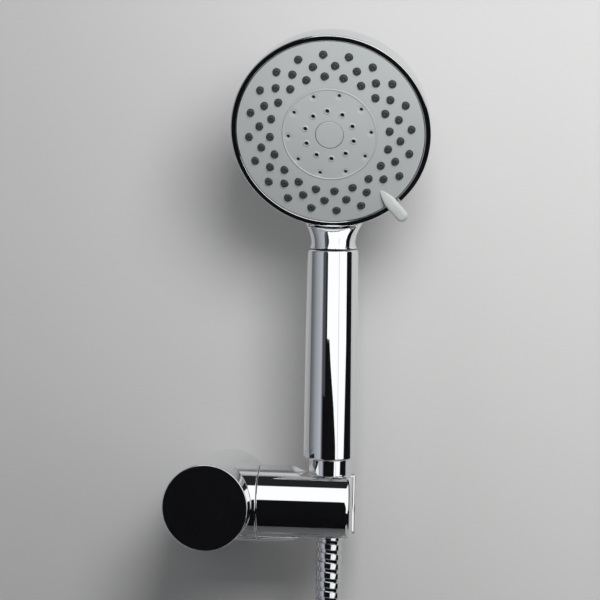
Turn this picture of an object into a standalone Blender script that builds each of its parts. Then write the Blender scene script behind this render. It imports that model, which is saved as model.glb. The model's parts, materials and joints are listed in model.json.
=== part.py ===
"""Handheld shower head on a swivelling wall bracket, with its metal hose.

Metres, +Z up. The origin is where the bracket's wall tube meets the wall: the wall is the plane Y = 0,
and the object stands out from it towards -Y. X runs along the holder arm.
Run it with: blender --background --python part.py
"""

import math

import bmesh
import bpy
import numpy as np
from mathutils import Vector

MM = 0.001
GAP = 0.3 * MM  # kept between pieces that touch or run on each other

# ---- wall bracket ----
TUBE_RADIUS = 23.2 * MM
TUBE_LENGTH = 96.0 * MM
TUBE_WALL = 2.8 * MM
TUBE_FRONT = 3.0 * MM  # thickness of the closed front
TUBE_BEVEL = 0.7 * MM
PLATE_THICKNESS = 3.0 * MM
PLATE_SPIGOT = 14.0 * MM  # how far the wall plate reaches into the tube
PLATE_SPIGOT_WALL = 4.0 * MM
WALL_SCREW_OFFSET = 9.0 * MM
WALL_SCREW_RADIUS = 2.0 * MM
WALL_SCREW_LENGTH = 34.0 * MM
WALL_SCREW_HEAD = 4.0 * MM
WALL_SCREW_HEAD_HEIGHT = 2.6 * MM
PLUG_RADIUS = 3.4 * MM
GRUB_DEPTH = 9.0 * MM  # of the grub screw behind the wall
GRUB_RADIUS = 2.0 * MM
GRUB_LENGTH = 3.6 * MM

# ---- holder arm ----
ARM_DEPTH = 62.4 * MM  # from the wall to the arm's axis
ARM_RADIUS = 21.0 * MM
STUB_LENGTH = 2.0 * MM  # that shows beside the wall tube
ARM_START = TUBE_RADIUS + STUB_LENGTH  # the seam between the fixed stub and the arm that turns
SOCKET_X = ARM_START + 38.5 * MM
ARM_END = SOCKET_X + 12.4 * MM
ARM_EDGE = 1.2 * MM
SEAM_EDGE = 0.6 * MM
STUB_START = TUBE_RADIUS - 14.2 * MM
FLAT_HEIGHT = 16.5 * MM  # of the flats above and below the axis
FLAT_RADIUS = 18.1 * MM  # round the socket, where the sloping end of a flat starts
BOLT_RADIUS = 4.0 * MM
BOLT_REACH = 18.0 * MM  # length of thread in the arm
BOLT_HEAD_RADIUS = 6.5 * MM
BOLT_HEAD = 5.0 * MM
BOLT_KEY = 3.0 * MM
BUSH_WALL = 1.4 * MM
WASHER_THICKNESS = 1.5 * MM
WASHER_RADIUS = 7.6 * MM
SPRING_WASHER_RISE = 0.8 * MM
RING_RADIUS = 14.5 * MM  # middle of the friction ring
RING_WIDTH = 4.4 * MM
RING_DEPTH = 1.8 * MM

# ---- socket and cone nut ----
SOCKET_CHAMFER = 2.6 * MM
HOSE_RADIUS = 7.0 * MM
HOSE_HOLE = HOSE_RADIUS + 0.5 * MM
SLOT_WIDTH = 2 * HOSE_HOLE
LEAN = math.radians(3.67)  # the socket's axis leans forward at the top
NUT_END_WALL = 2.0 * MM
NUT_TAPER = 2.0 * MM  # how much wider the cone is at its top
NUT_SMALL_RADIUS = HOSE_HOLE + NUT_END_WALL
NUT_RADIUS = NUT_SMALL_RADIUS + NUT_TAPER
NUT_BOTTOM = -16.9 * MM  # along the socket's axis, from the arm's axis
NUT_CONE_TOP = 17.5 * MM
NUT_TOP = 26.1 * MM
SWIVEL_FLANGE_BASE = 6.7 * MM
SWIVEL_FLANGE = 1.9 * MM
SWIVEL_FLANGE_RADIUS = HOSE_HOLE + 2.0 * MM
SWIVEL_BORE = 4.4 * MM
SEAL_THICKNESS = 2.2 * MM
SEAL_BORE = 5.5 * MM
THREAD_RADIUS = SWIVEL_FLANGE_RADIUS + 0.4 * MM
THREAD_PITCH = 1.814 * MM
THREAD_DEPTH = 0.5 * MM

# ---- handle ----
HANDLE_BASE = NUT_TOP + GAP
HANDLE_TOP = HANDLE_BASE + 113.2 * MM
HANDLE_BASE_RADIUS = 14.7 * MM
HANDLE_TOP_RADIUS = 13.8 * MM
HANDLE_WALL = 1.4 * MM
HANDLE_EDGE = 0.7 * MM
CONNECTOR_FLANGE = 4.6 * MM
SPIGOT_RADIUS = 8.2 * MM
SPIGOT_LENGTH = 11.0 * MM
CONNECTOR_BORE = 5.4 * MM
FILTER_RADIUS = 6.4 * MM
FILTER_DEPTH = 8.4 * MM
RESTRICTOR_HEIGHT = 4.2 * MM
STRAINER_HEIGHT = 2.8 * MM
RING_SEAL = 0.75 * MM  # radius of the O-ring's section
WATER_TUBE_RADIUS = 10.1 * MM
WATER_TUBE_WALL = 1.6 * MM
WATER_TUBE_TOP = HANDLE_TOP - 2.1 * MM

# ---- head ----
HEAD_TILT = math.radians(16.51)  # the face looks down from square to the handle
HEAD_RADIUS = 52.5 * MM
RIM_FOOT = (5.28 * MM, 12.865 * MM)  # the rim's lowest point: before the axis, above the handle
HEAD_AXIS_OFFSET = RIM_FOOT[0] + HEAD_RADIUS * math.sin(HEAD_TILT)  # of the face's centre
HEAD_HEIGHT = HANDLE_TOP + RIM_FOOT[1] + HEAD_RADIUS * math.cos(HEAD_TILT)
HEAD_DEPTH = 30.0 * MM
HEAD_SQUARENESS = 3.3
HEAD_WALL = 2.2 * MM
DOME_HEIGHT = 4.88 * MM  # of the face's middle above its rim plane
BEZEL_BACK = 2.2 * MM
BEZEL_FRONT = 0.6 * MM
BEZEL_WIDTH = 2.6 * MM
TURNING_DEPTH = 6.3 * MM  # back of the turning spray body, behind the rim plane
PORT_PLATE = 2.6 * MM
FACE_THICKNESS = 1.8 * MM
MAT_THICKNESS = 1.4 * MM
INSERT_RADIUS = 25.4 * MM  # the middle disc of the face
CAP_RADIUS = 7.4 * MM
CAP_THICKNESS = 1.2 * MM
SCREW_RADIUS = 2.4 * MM
SCREW_HEAD = 4.6 * MM
SCREW_HEAD_HEIGHT = 2.0 * MM
SCREW_BOSS = 5.6 * MM
SCREW_DEPTH = 17.0 * MM
FEED_HOLES = 5
FEED_RADIUS = 3.0 * MM
FEED_CIRCLE = 20.0 * MM
CORE_SEAL_RADIUS = 8.6 * MM
DETENT_CIRCLE = 37.0 * MM
DETENT_BALL = 1.7 * MM
DETENT_BOSS = 3.6 * MM
DETENT_DEPTH = 7.5 * MM

# nozzles: rings of (share of the head's radius, first angle in degrees clockwise from the top)
NOZZLE_RINGS = ((0.820, -3.57), (0.711, 5.43), (0.603, -3.57))
NOZZLES_PER_RING = 20
NOZZLE_RADIUS = 2.15 * MM
NOZZLE_RISE = 1.3 * MM
JET_RINGS = ((0.420, 14.46), (0.251, -3.60))
JETS_PER_RING = 10
JET_RADIUS = 0.6 * MM

# lever of the spray selector
LEVER_ANGLE = 140.0  # degrees clockwise from the top
LEVER_INNER = HEAD_RADIUS - 11.5 * MM
LEVER_OUTER = HEAD_RADIUS + 9.5 * MM
LEVER_HALF_WIDTH = 3.3 * MM
LEVER_TOP = 5.0 * MM
LEVER_UNDERSIDE = 0.9 * MM  # of the part outside the rim, above the rim plane

# neck: (height above the handle, half width, front, back) in millimetres
NECK = (
    (0.3, 13.4, -13.4, 13.4),
    (1.4, 12.6, -12.6, 12.6),
    (2.9, 12.1, -12.1, 12.2),
    (6.4, 12.5, -11.6, 12.5),
    (9.4, 13.4, -9.6, 12.9),
    (11.9, 14.5, -6.2, 13.3),
    (13.6, 15.4, -2.3, 13.7),
    (18.4, 18.0, 2.5, 14.0),
    (26.4, 21.0, 4.5, 13.6),
)
NECK_SPIGOT = 12.0 * MM  # how far the neck reaches down into the sleeve
NECK_SPIGOT_RADIUS = 11.9 * MM
PASSAGE_RADIUS = 4.0 * MM
PASSAGE = ((2.5, 5.4), (10.8, 28.9))  # (behind the axis, above the handle) of the way into the head

# ---- hose ----
HOSE_LENGTH = 1.5
HANK_DROP = 94.0 * MM  # from the hose's exit to the hank's upper folds
HANK_FOLD = 6 * HOSE_RADIUS  # radius of the folds
HANK_LAYER = 2 * HOSE_RADIUS + 1.0 * MM  # from one turn to the next
HANK_RUNS = 5
TAIL = 75.0 * MM  # below the lower folds
TIE_THICKNESS = 1.2 * MM
TIE_HEIGHT = 12.0 * MM
CRIMP_LENGTH = 14.0 * MM
CRIMP_RADIUS = HOSE_RADIUS + 1.2 * MM
CRIMP_COLLAR = CRIMP_RADIUS + 1.2 * MM
END_NUT_BORE = CRIMP_COLLAR + 0.8 * MM
END_NUT_FLATS = END_NUT_BORE + 1.8 * MM  # half the width across the flats
END_NUT_LENGTH = 15.0 * MM

TURNS = 48  # sides of a large round piece
SMALL_TURNS = 24


# ---- scene, materials and placing ----
def clear_scene():
    for obj in list(bpy.data.objects):
        bpy.data.objects.remove(obj)


def collection(name):
    made = bpy.data.collections.new(name)
    bpy.context.scene.collection.children.link(made)
    return made


def finish(name, colour, roughness, metallic=0.0):
    made = bpy.data.materials.new(name)
    made.use_nodes = True
    shader = made.node_tree.nodes["Principled BSDF"]
    shader.inputs["Base Color"].default_value = (*colour, 1.0)
    shader.inputs["Roughness"].default_value = roughness
    shader.inputs["Metallic"].default_value = metallic
    return made


clear_scene()
PARTS = collection("handheld_shower")
CUTTERS = collection("cutters")
CHROME = finish("chrome", (0.86, 0.87, 0.88), 0.06, 1.0)
STEEL = finish("steel", (0.56, 0.57, 0.58), 0.3, 1.0)
BRASS = finish("brass", (0.72, 0.55, 0.27), 0.3, 1.0)
GREY_PLASTIC = finish("grey_plastic", (0.36, 0.37, 0.37), 0.4)
LEVER_PLASTIC = finish("lever_plastic", (0.56, 0.57, 0.56), 0.4)
SILICONE = finish("silicone", (0.04, 0.045, 0.045), 0.6)
WHITE_PLASTIC = finish("white_plastic", (0.8, 0.8, 0.78), 0.45)
RUBBER = finish("rubber", (0.03, 0.03, 0.03), 0.7)
BRACKET_BRASS = finish("bracket_chrome", (0.86, 0.87, 0.88), 0.06, 1.0)


def axis_empty(name, location, rotation=(0.0, 0.0, 0.0), parent=None):
    """An empty that stands at a joint or along a main axis. Pieces parented to it use its own directions."""
    made = bpy.data.objects.new(name, None)
    PARTS.objects.link(made)
    made.parent = parent
    made.location = location
    made.rotation_euler = rotation
    return made


# +Z of each empty is the axis that its pieces are turned about.
WALL_AXIS = axis_empty("wall_axis", (0, 0, 0), (math.pi / 2, 0, 0))
ARM_AXIS = axis_empty("arm_axis", (0, -ARM_DEPTH, 0), (0, math.pi / 2, 0))
SOCKET_AXIS = axis_empty("socket_axis", (SOCKET_X, -ARM_DEPTH, 0), (LEAN, 0, 0))
HEAD_AXIS = axis_empty(
    "head_axis",
    (0, -HEAD_AXIS_OFFSET, HEAD_HEIGHT),
    (math.pi / 2 + HEAD_TILT, 0, 0),
    SOCKET_AXIS,
)
HOSE_EXIT = Vector(
    (SOCKET_X, -ARM_DEPTH - NUT_BOTTOM * math.sin(LEAN), NUT_BOTTOM * math.cos(LEAN))
)
HOSE_AXIS = axis_empty("hose_axis", HOSE_EXIT)


# ---- shapes ----
def add(name, mesh, parent, material=None, location=(0, 0, 0), rotation=(0, 0, 0)):
    """Places a mesh as a part or, with no material, as a cutter."""
    obj = bpy.data.objects.new(name, mesh)
    (PARTS if material else CUTTERS).objects.link(obj)
    obj.parent = parent
    obj.location = location
    obj.rotation_euler = rotation
    if material:
        mesh.materials.append(material)
    else:
        obj.hide_render = True
        obj.display_type = "WIRE"
    return obj


def turned(name, profile, parent, material=None, closed=True, turns=TURNS, **place):
    """A profile of (radius, height) points, outer side from top to bottom, turned about the parent's Z.
    A closed profile is a ring; an open one starts and ends on the axis."""
    mesh = bpy.data.meshes.new(name)
    count = len(profile)
    edges = [(i, i + 1) for i in range(count - 1)] + ([(count - 1, 0)] if closed else [])
    mesh.from_pydata([(r, 0.0, h) for r, h in profile], edges, [])
    obj = add(name, mesh, parent, material, **place)
    screw = obj.modifiers.new("turn", "SCREW")
    screw.steps = screw.render_steps = turns
    screw.use_merge_vertices = True
    screw.merge_threshold = 1e-5
    screw.use_smooth_shade = True
    return obj


def ring(outer, inner, top, bottom):
    """The profile of a plain ring."""
    return [(outer, top), (outer, bottom), (inner, bottom), (inner, top)]


def disc(radius, top, bottom):
    """The profile of a plain solid cylinder."""
    return [(0.0, top), (radius, top), (radius, bottom), (0.0, bottom)]


def baked(obj):
    """Replaces an object's modifiers with the mesh that they make."""
    graph = bpy.context.evaluated_depsgraph_get()
    mesh = bpy.data.meshes.new_from_object(obj.evaluated_get(graph))
    obj.modifiers.clear()
    obj.data = mesh
    return obj


def boolean(obj, other, operation="DIFFERENCE"):
    made = obj.modifiers.new(operation.lower(), "BOOLEAN")
    made.operation = operation
    made.object = other
    made.solver = "EXACT"
    return obj


def joined(obj, *others):
    for other in others:
        boolean(obj, other, "UNION")
    return obj


def cut(obj, *others):
    for other in others:
        boolean(obj, other)
    return obj


def pegs(name, places, sides, parent, material=None):
    """One mesh of upright prisms: places are (x, y, bottom, top, radius)."""
    work = bmesh.new()
    for x, y, bottom, top, radius in places:
        made = bmesh.ops.create_cone(
            work, cap_ends=True, segments=sides, radius1=radius, radius2=radius, depth=top - bottom
        )
        bmesh.ops.translate(work, verts=made["verts"], vec=(x, y, (top + bottom) / 2))
    mesh = bpy.data.meshes.new(name)
    work.to_mesh(mesh)
    work.free()
    return add(name, mesh, parent, material)


def block(name, low, high, parent, material=None):
    """A box between two corners."""
    work = bmesh.new()
    bmesh.ops.create_cube(work, size=1.0)
    low, high = Vector(low), Vector(high)
    bmesh.ops.scale(work, verts=work.verts, vec=high - low)
    bmesh.ops.translate(work, verts=work.verts, vec=(low + high) / 2)
    mesh = bpy.data.meshes.new(name)
    work.to_mesh(mesh)
    work.free()
    return add(name, mesh, parent, material)


def loft(name, sections, parent, material=None):
    """A closed skin through rings of equally many points, with its two ends filled."""
    work = bmesh.new()
    rings = [[work.verts.new(point) for point in section] for section in sections]
    count = len(rings[0])
    for lower, upper in zip(rings, rings[1:]):
        for i in range(count):
            j = (i + 1) % count
            work.faces.new((lower[i], lower[j], upper[j], upper[i]))
    work.faces.new(rings[0])
    work.faces.new(rings[-1])
    bmesh.ops.recalc_face_normals(work, faces=work.faces)
    mesh = bpy.data.meshes.new(name)
    work.to_mesh(mesh)
    work.free()
    return add(name, mesh, parent, material)


def piped(name, points, radius, parent, material, resolution=4):
    """A round bar along a line of points, as a mesh with its caps welded on."""
    curve = bpy.data.curves.new(name, "CURVE")
    curve.dimensions = "3D"
    curve.bevel_depth = radius
    curve.bevel_resolution = resolution
    curve.use_fill_caps = True
    line = curve.splines.new("POLY")
    line.points.add(len(points) - 1)
    for spot, point in zip(line.points, points):
        spot.co = (*point, 1.0)
    guide = bpy.data.objects.new(name + "_line", curve)
    CUTTERS.objects.link(guide)
    mesh = bpy.data.meshes.new_from_object(guide.evaluated_get(bpy.context.evaluated_depsgraph_get()))
    bpy.data.objects.remove(guide)
    work = bmesh.new()
    work.from_mesh(mesh)
    bmesh.ops.remove_doubles(work, verts=work.verts, dist=1e-6)
    work.to_mesh(mesh)
    work.free()
    return add(name, mesh, parent, material)


def clockwise(radius, degrees):
    """A point of the face: degrees clockwise from the top, seen from in front."""
    turn = math.radians(degrees)
    return radius * math.sin(turn), radius * math.cos(turn)


# ---- wall bracket ----
def bracket():
    inner = TUBE_RADIUS - TUBE_WALL
    body = turned(
        "bracket_body",
        [
            (0.0, TUBE_LENGTH),
            (TUBE_RADIUS - TUBE_BEVEL, TUBE_LENGTH),
            (TUBE_RADIUS, TUBE_LENGTH - TUBE_BEVEL),
            (TUBE_RADIUS, 0.0),
            (inner, 0.0),
            (inner, TUBE_LENGTH - TUBE_FRONT),
            (0.0, TUBE_LENGTH - TUBE_FRONT),
        ],
        WALL_AXIS,
        BRACKET_BRASS,
        closed=False,
    )
    stub_end = ARM_START - GAP / 2
    stub = turned(
        "bracket_stub",
        [
            (0.0, stub_end),
            (ARM_RADIUS - SEAM_EDGE, stub_end),
            (ARM_RADIUS, stub_end - SEAM_EDGE),
            (ARM_RADIUS, STUB_START),
            (0.0, STUB_START),
        ],
        ARM_AXIS,
        closed=False,
    )
    bush_hole = BOLT_RADIUS + 2 * GAP + BUSH_WALL
    bore = turned(
        "bracket_bore",
        disc(bush_hole, ARM_START + MM, 0.0),
        ARM_AXIS,
        closed=False,
        turns=SMALL_TURNS,
    )
    grub_hole = turned(
        "grub_hole",
        disc(GRUB_RADIUS + GAP, -inner + 2 * MM, -TUBE_RADIUS - 2 * MM),
        None,
        closed=False,
        turns=20,
        location=(0, -GRUB_DEPTH, 0),
        rotation=(0, 0, 0.1),
    )
    joined(body, stub)
    cut(body, bore, grub_hole)

    bush = ring(bush_hole - GAP, BOLT_RADIUS + GAP, ARM_START - 3 * GAP, STUB_START + GAP)
    turned("pivot_bush", bush, ARM_AXIS, WHITE_PLASTIC, turns=SMALL_TURNS)
    return inner


def wall_fixing(inner):
    outer = inner - GAP
    hollow = outer - PLATE_SPIGOT_WALL
    plate = turned(
        "wall_plate",
        [
            (0.0, PLATE_THICKNESS),
            (hollow, PLATE_THICKNESS),
            (hollow, PLATE_SPIGOT),
            (outer, PLATE_SPIGOT),
            (outer, 0.0),
            (0.0, 0.0),
        ],
        WALL_AXIS,
        STEEL,
        closed=False,
    )
    sides = (-WALL_SCREW_OFFSET, WALL_SCREW_OFFSET)
    holes = pegs(
        "wall_screw_holes",
        [(x, 0, -MM, PLATE_THICKNESS + MM, WALL_SCREW_RADIUS + GAP) for x in sides],
        SMALL_TURNS,
        WALL_AXIS,
    )
    grub_tip = outer - 1.2 * MM
    dimple = turned(
        "grub_dimple",
        disc(GRUB_RADIUS + GAP, -grub_tip, -outer - MM),
        None,
        closed=False,
        turns=20,
        location=(0, -GRUB_DEPTH, 0),
        rotation=(0, 0, 0.1),
    )
    cut(plate, holes, dimple)
    grub_top = -grub_tip - GAP
    grub = turned(
        "grub_screw",
        disc(GRUB_RADIUS, grub_top, grub_top - GRUB_LENGTH),
        None,
        STEEL,
        closed=False,
        turns=SMALL_TURNS,
        location=(0, -GRUB_DEPTH, 0),
    )
    key = turned(
        "grub_key",
        disc(GRUB_RADIUS / 2, grub_top - GRUB_LENGTH / 2, grub_top - GRUB_LENGTH - MM),
        None,
        closed=False,
        turns=6,
        location=(0, -GRUB_DEPTH, 0),
    )
    cut(grub, key)

    seat = PLATE_THICKNESS + GAP
    point = WALL_SCREW_RADIUS * 2
    screw_profile = [
        (0.0, seat + WALL_SCREW_HEAD_HEIGHT),
        (WALL_SCREW_HEAD * 0.7, seat + WALL_SCREW_HEAD_HEIGHT),
        (WALL_SCREW_HEAD, seat + WALL_SCREW_HEAD_HEIGHT * 0.5),
        (WALL_SCREW_HEAD, seat),
        (WALL_SCREW_RADIUS, seat),
        (WALL_SCREW_RADIUS, seat - WALL_SCREW_LENGTH + point),
        (0.0, seat - WALL_SCREW_LENGTH),
    ]
    bore = WALL_SCREW_RADIUS + GAP
    plug_profile = ring(PLUG_RADIUS, bore, -GAP, seat - WALL_SCREW_LENGTH + point)
    for x, side in zip(sides, ("left", "right")):
        place = {"turns": 16, "location": (x, 0, 0)}
        turned("wall_screw_" + side, screw_profile, WALL_AXIS, STEEL, closed=False, **place)
        turned("wall_plug_" + side, plug_profile, WALL_AXIS, WHITE_PLASTIC, **place)


# ---- holder arm ----
def holder_arm():
    start = ARM_START + GAP / 2
    thread = BOLT_RADIUS + GAP
    groove_out, groove_in = RING_RADIUS + RING_WIDTH / 2, RING_RADIUS - RING_WIDTH / 2
    arm = turned(
        "holder_arm",
        [
            (0.0, ARM_END),
            (ARM_RADIUS - ARM_EDGE, ARM_END),
            (ARM_RADIUS - 0.3 * ARM_EDGE, ARM_END - 0.3 * ARM_EDGE),
            (ARM_RADIUS, ARM_END - ARM_EDGE),
            (ARM_RADIUS, start + SEAM_EDGE),
            (ARM_RADIUS - SEAM_EDGE, start),
            (groove_out, start),
            (groove_out, start + RING_DEPTH),
            (groove_in, start + RING_DEPTH),
            (groove_in, start),
            (thread, start),
            (thread, start + BOLT_REACH),
            (0.0, start + BOLT_REACH),
        ],
        ARM_AXIS,
        CHROME,
        closed=False,
    )
    friction = ring(groove_out - GAP, groove_in + GAP, start + RING_DEPTH - GAP, start - GAP / 2)
    turned("friction_ring", friction, ARM_AXIS, RUBBER, turns=32)

    # Each flat is a cone-ended spot face round the socket that runs out at the arm's free end.
    over = ARM_RADIUS + 2 * MM
    slope = over - FLAT_HEIGHT
    for side, name in ((1, "top_flat"), (-1, "bottom_flat")):
        spot = turned(
            name + "_spot",
            [(0.0, over), (FLAT_RADIUS + slope, over), (FLAT_RADIUS, FLAT_HEIGHT), (0.0, FLAT_HEIGHT)],
            None,
            closed=False,
            location=(SOCKET_X, -ARM_DEPTH, 0),
            rotation=(0 if side > 0 else math.pi, 0, 0),
        )
        run_out = block(
            name + "_run_out",
            (SOCKET_X, -ARM_DEPTH - over, FLAT_HEIGHT if side > 0 else -over),
            (ARM_END + MM, -ARM_DEPTH + over, over if side > 0 else -FLAT_HEIGHT),
            None,
        )
        cut(arm, spot, run_out)

    # The tapered socket keeps the gap to the nut, and widens at both ends in a chamfer.
    def bore(height):
        share = (height - NUT_BOTTOM) / (NUT_CONE_TOP - NUT_BOTTOM)
        return NUT_SMALL_RADIUS + GAP + share * (NUT_RADIUS - NUT_SMALL_RADIUS)

    top = over + 2 * MM
    lip = FLAT_HEIGHT - SOCKET_CHAMFER
    socket = turned(
        "socket_bore",
        [
            (0.0, top),
            (bore(lip) + top - lip, top),
            (bore(lip), lip),
            (bore(-lip), -lip),
            (bore(-lip) + top - lip + MM, -top),
            (0.0, -top),
        ],
        SOCKET_AXIS,
        closed=False,
    )
    half = SLOT_WIDTH / 2
    slot = block(
        "hose_slot", (SOCKET_X, -half - ARM_DEPTH, -over), (ARM_END + MM, half - ARM_DEPTH, over), None
    )
    cut(arm, socket, slot)


def pivot_bolt():
    spring_height = WASHER_THICKNESS + SPRING_WASHER_RISE
    washer_top = STUB_START - GAP
    spring_top = washer_top - WASHER_THICKNESS - GAP
    head_top = spring_top - spring_height - GAP
    turned(
        "pivot_washer",
        ring(WASHER_RADIUS, BOLT_RADIUS + GAP, washer_top, washer_top - WASHER_THICKNESS),
        ARM_AXIS,
        STEEL,
        turns=SMALL_TURNS,
    )
    turned(
        "pivot_spring_washer",
        [
            (WASHER_RADIUS, spring_top - SPRING_WASHER_RISE),
            (WASHER_RADIUS, spring_top - spring_height),
            (BOLT_RADIUS + GAP, spring_top - WASHER_THICKNESS),
            (BOLT_RADIUS + GAP, spring_top),
        ],
        ARM_AXIS,
        STEEL,
        turns=SMALL_TURNS,
    )
    end = ARM_START + BOLT_REACH - 2 * MM
    bolt = turned(
        "pivot_bolt",
        [
            (0.0, end),
            (BOLT_RADIUS - MM, end),
            (BOLT_RADIUS, end - MM),
            (BOLT_RADIUS, head_top),
            (BOLT_HEAD_RADIUS, head_top),
            (BOLT_HEAD_RADIUS, head_top - BOLT_HEAD),
            (0.0, head_top - BOLT_HEAD),
        ],
        ARM_AXIS,
        STEEL,
        closed=False,
        turns=SMALL_TURNS,
    )
    key = turned(
        "bolt_key",
        disc(BOLT_KEY, head_top - BOLT_HEAD * 0.4, head_top - BOLT_HEAD - MM),
        ARM_AXIS,
        closed=False,
        turns=6,
    )
    cut(bolt, key)


# ---- cone nut, swivel and what is inside the handle's lower end ----
def cone_nut():
    thread_bore = THREAD_RADIUS + GAP
    flange_bore = SWIVEL_FLANGE_RADIUS + GAP
    shoulder = SWIVEL_FLANGE_BASE - GAP
    edge = 0.4 * MM
    turned(
        "cone_nut",
        [
            (NUT_RADIUS - edge, NUT_TOP),
            (NUT_RADIUS, NUT_TOP - edge),
            (NUT_RADIUS, NUT_CONE_TOP),
            (NUT_SMALL_RADIUS, NUT_BOTTOM + edge),
            (NUT_SMALL_RADIUS - edge, NUT_BOTTOM),
            (HOSE_HOLE, NUT_BOTTOM),
            (HOSE_HOLE, shoulder),
            (flange_bore, shoulder),
            (flange_bore, connector_base()),
            (thread_bore, connector_base() + MM),
            (thread_bore, NUT_TOP),
        ],
        SOCKET_AXIS,
        CHROME,
        turns=36,
    )
    sleeve = HOSE_HOLE - GAP
    turned(
        "hose_swivel",
        [
            (SWIVEL_FLANGE_RADIUS, SWIVEL_FLANGE_BASE + SWIVEL_FLANGE),
            (SWIVEL_FLANGE_RADIUS, SWIVEL_FLANGE_BASE),
            (sleeve, SWIVEL_FLANGE_BASE),
            (sleeve, NUT_BOTTOM + GAP),
            (SWIVEL_BORE, NUT_BOTTOM + GAP),
            (SWIVEL_BORE, SWIVEL_FLANGE_BASE + SWIVEL_FLANGE),
        ],
        SOCKET_AXIS,
        BRASS,
        turns=32,
    )
    seal = SWIVEL_FLANGE_BASE + SWIVEL_FLANGE + GAP
    turned(
        "sealing_washer",
        ring(SWIVEL_FLANGE_RADIUS, SEAL_BORE, seal + SEAL_THICKNESS, seal),
        SOCKET_AXIS,
        RUBBER,
        turns=32,
    )


def connector_base():
    """Where the handle's threaded end starts, above the sealing washer."""
    return SWIVEL_FLANGE_BASE + SWIVEL_FLANGE + SEAL_THICKNESS + 2 * GAP


def connector():
    base = connector_base()
    flange = HANDLE_BASE + 0.1 * MM
    flange_radius = HANDLE_BASE_RADIUS - HANDLE_WALL - GAP
    spigot = flange + CONNECTOR_FLANGE
    top = spigot + SPIGOT_LENGTH
    filter_top = base + FILTER_DEPTH
    groove = spigot + SPIGOT_LENGTH / 2
    groove_half = RING_SEAL + GAP / 2
    groove_floor = SPIGOT_RADIUS - 2 * RING_SEAL
    threads = []
    height = flange - MM
    while height - THREAD_PITCH > base + MM:
        threads += [(THREAD_RADIUS, height), (THREAD_RADIUS - THREAD_DEPTH, height - THREAD_PITCH / 2)]
        height -= THREAD_PITCH
    turned(
        "threaded_connector",
        [
            (SPIGOT_RADIUS, top),
            (SPIGOT_RADIUS, groove + groove_half),
            (groove_floor, groove + groove_half),
            (groove_floor, groove - groove_half),
            (SPIGOT_RADIUS, groove - groove_half),
            (SPIGOT_RADIUS, spigot),
            (flange_radius, spigot),
            (flange_radius, flange),
            (THREAD_RADIUS - THREAD_DEPTH, flange),
            *threads,
            (THREAD_RADIUS - THREAD_DEPTH, base),
            (FILTER_RADIUS, base),
            (FILTER_RADIUS, filter_top),
            (CONNECTOR_BORE, filter_top),
            (CONNECTOR_BORE, top),
        ],
        SOCKET_AXIS,
        BRASS,
        turns=20,
    )
    restrictor = filter_top - GAP
    turned(
        "flow_restrictor",
        [
            (FILTER_RADIUS - GAP, restrictor),
            (FILTER_RADIUS - GAP, restrictor - RESTRICTOR_HEIGHT),
            (CONNECTOR_BORE - MM, restrictor - RESTRICTOR_HEIGHT),
            (1.2 * MM, restrictor - RESTRICTOR_HEIGHT / 2),
            (1.2 * MM, restrictor),
        ],
        SOCKET_AXIS,
        WHITE_PLASTIC,
        turns=SMALL_TURNS,
    )
    strainer = restrictor - RESTRICTOR_HEIGHT - GAP
    turned(
        "inlet_strainer",
        [
            (FILTER_RADIUS - GAP, strainer),
            (FILTER_RADIUS - GAP, strainer - STRAINER_HEIGHT * 0.5),
            (0.8 * MM, strainer - STRAINER_HEIGHT),
            (0.8 * MM, strainer - STRAINER_HEIGHT * 0.6),
            (FILTER_RADIUS - 1.5 * MM, strainer),
        ],
        SOCKET_AXIS,
        STEEL,
        turns=SMALL_TURNS,
    )
    o_ring("connector_o_ring", groove_floor + RING_SEAL + GAP / 2, RING_SEAL, groove, SOCKET_AXIS)
    return spigot


def o_ring(name, radius, section, height, parent):
    sides = 6
    turns = [2 * math.pi * i / sides for i in range(sides)]
    profile = [(radius + section * math.sin(t), height + section * math.cos(t)) for t in turns]
    return turned(name, profile, parent, RUBBER, turns=SMALL_TURNS)


# ---- handle ----
def handle(spigot):
    edge = HANDLE_EDGE
    turned(
        "handle_sleeve",
        [
            (HANDLE_TOP_RADIUS - edge, HANDLE_TOP),
            (HANDLE_TOP_RADIUS - 0.3 * edge, HANDLE_TOP - 0.3 * edge),
            (HANDLE_TOP_RADIUS, HANDLE_TOP - edge),
            (HANDLE_BASE_RADIUS, HANDLE_BASE + edge),
            (HANDLE_BASE_RADIUS - 0.3 * edge, HANDLE_BASE + 0.3 * edge),
            (HANDLE_BASE_RADIUS - edge, HANDLE_BASE),
            (HANDLE_BASE_RADIUS - HANDLE_WALL, HANDLE_BASE),
            (HANDLE_TOP_RADIUS - HANDLE_WALL, HANDLE_TOP),
        ],
        SOCKET_AXIS,
        CHROME,
    )
    turned(
        "water_tube",
        ring(WATER_TUBE_RADIUS, WATER_TUBE_RADIUS - WATER_TUBE_WALL, WATER_TUBE_TOP, spigot + GAP),
        SOCKET_AXIS,
        WHITE_PLASTIC,
        turns=32,
    )


# ---- head ----
def dome(radius):
    """Height of the face's outer surface above the rim plane."""
    return DOME_HEIGHT * (1 - (radius / HEAD_RADIUS) ** 2)


def domed_ring(outer, inner, drop, thickness, steps=3):
    """A ring profile whose two faces follow the face's dome, drop below it."""
    radii = np.linspace(inner, outer, steps)
    top = [(r, dome(r) - drop) for r in radii]
    bottom = [(r, dome(r) - drop - thickness) for r in radii[::-1]]
    return top + bottom


def head_outline(share, inset=0.0):
    """A point of the shell's section: share 0 is the front edge and 1 the middle of the back."""
    turn = share * math.pi / 2
    power = 2 / HEAD_SQUARENESS
    radius = (HEAD_RADIUS - 0.1 * MM - inset) * max(0.0, math.cos(turn)) ** power
    depth = (HEAD_DEPTH - inset) * math.sin(turn) ** power
    return radius, depth


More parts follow.
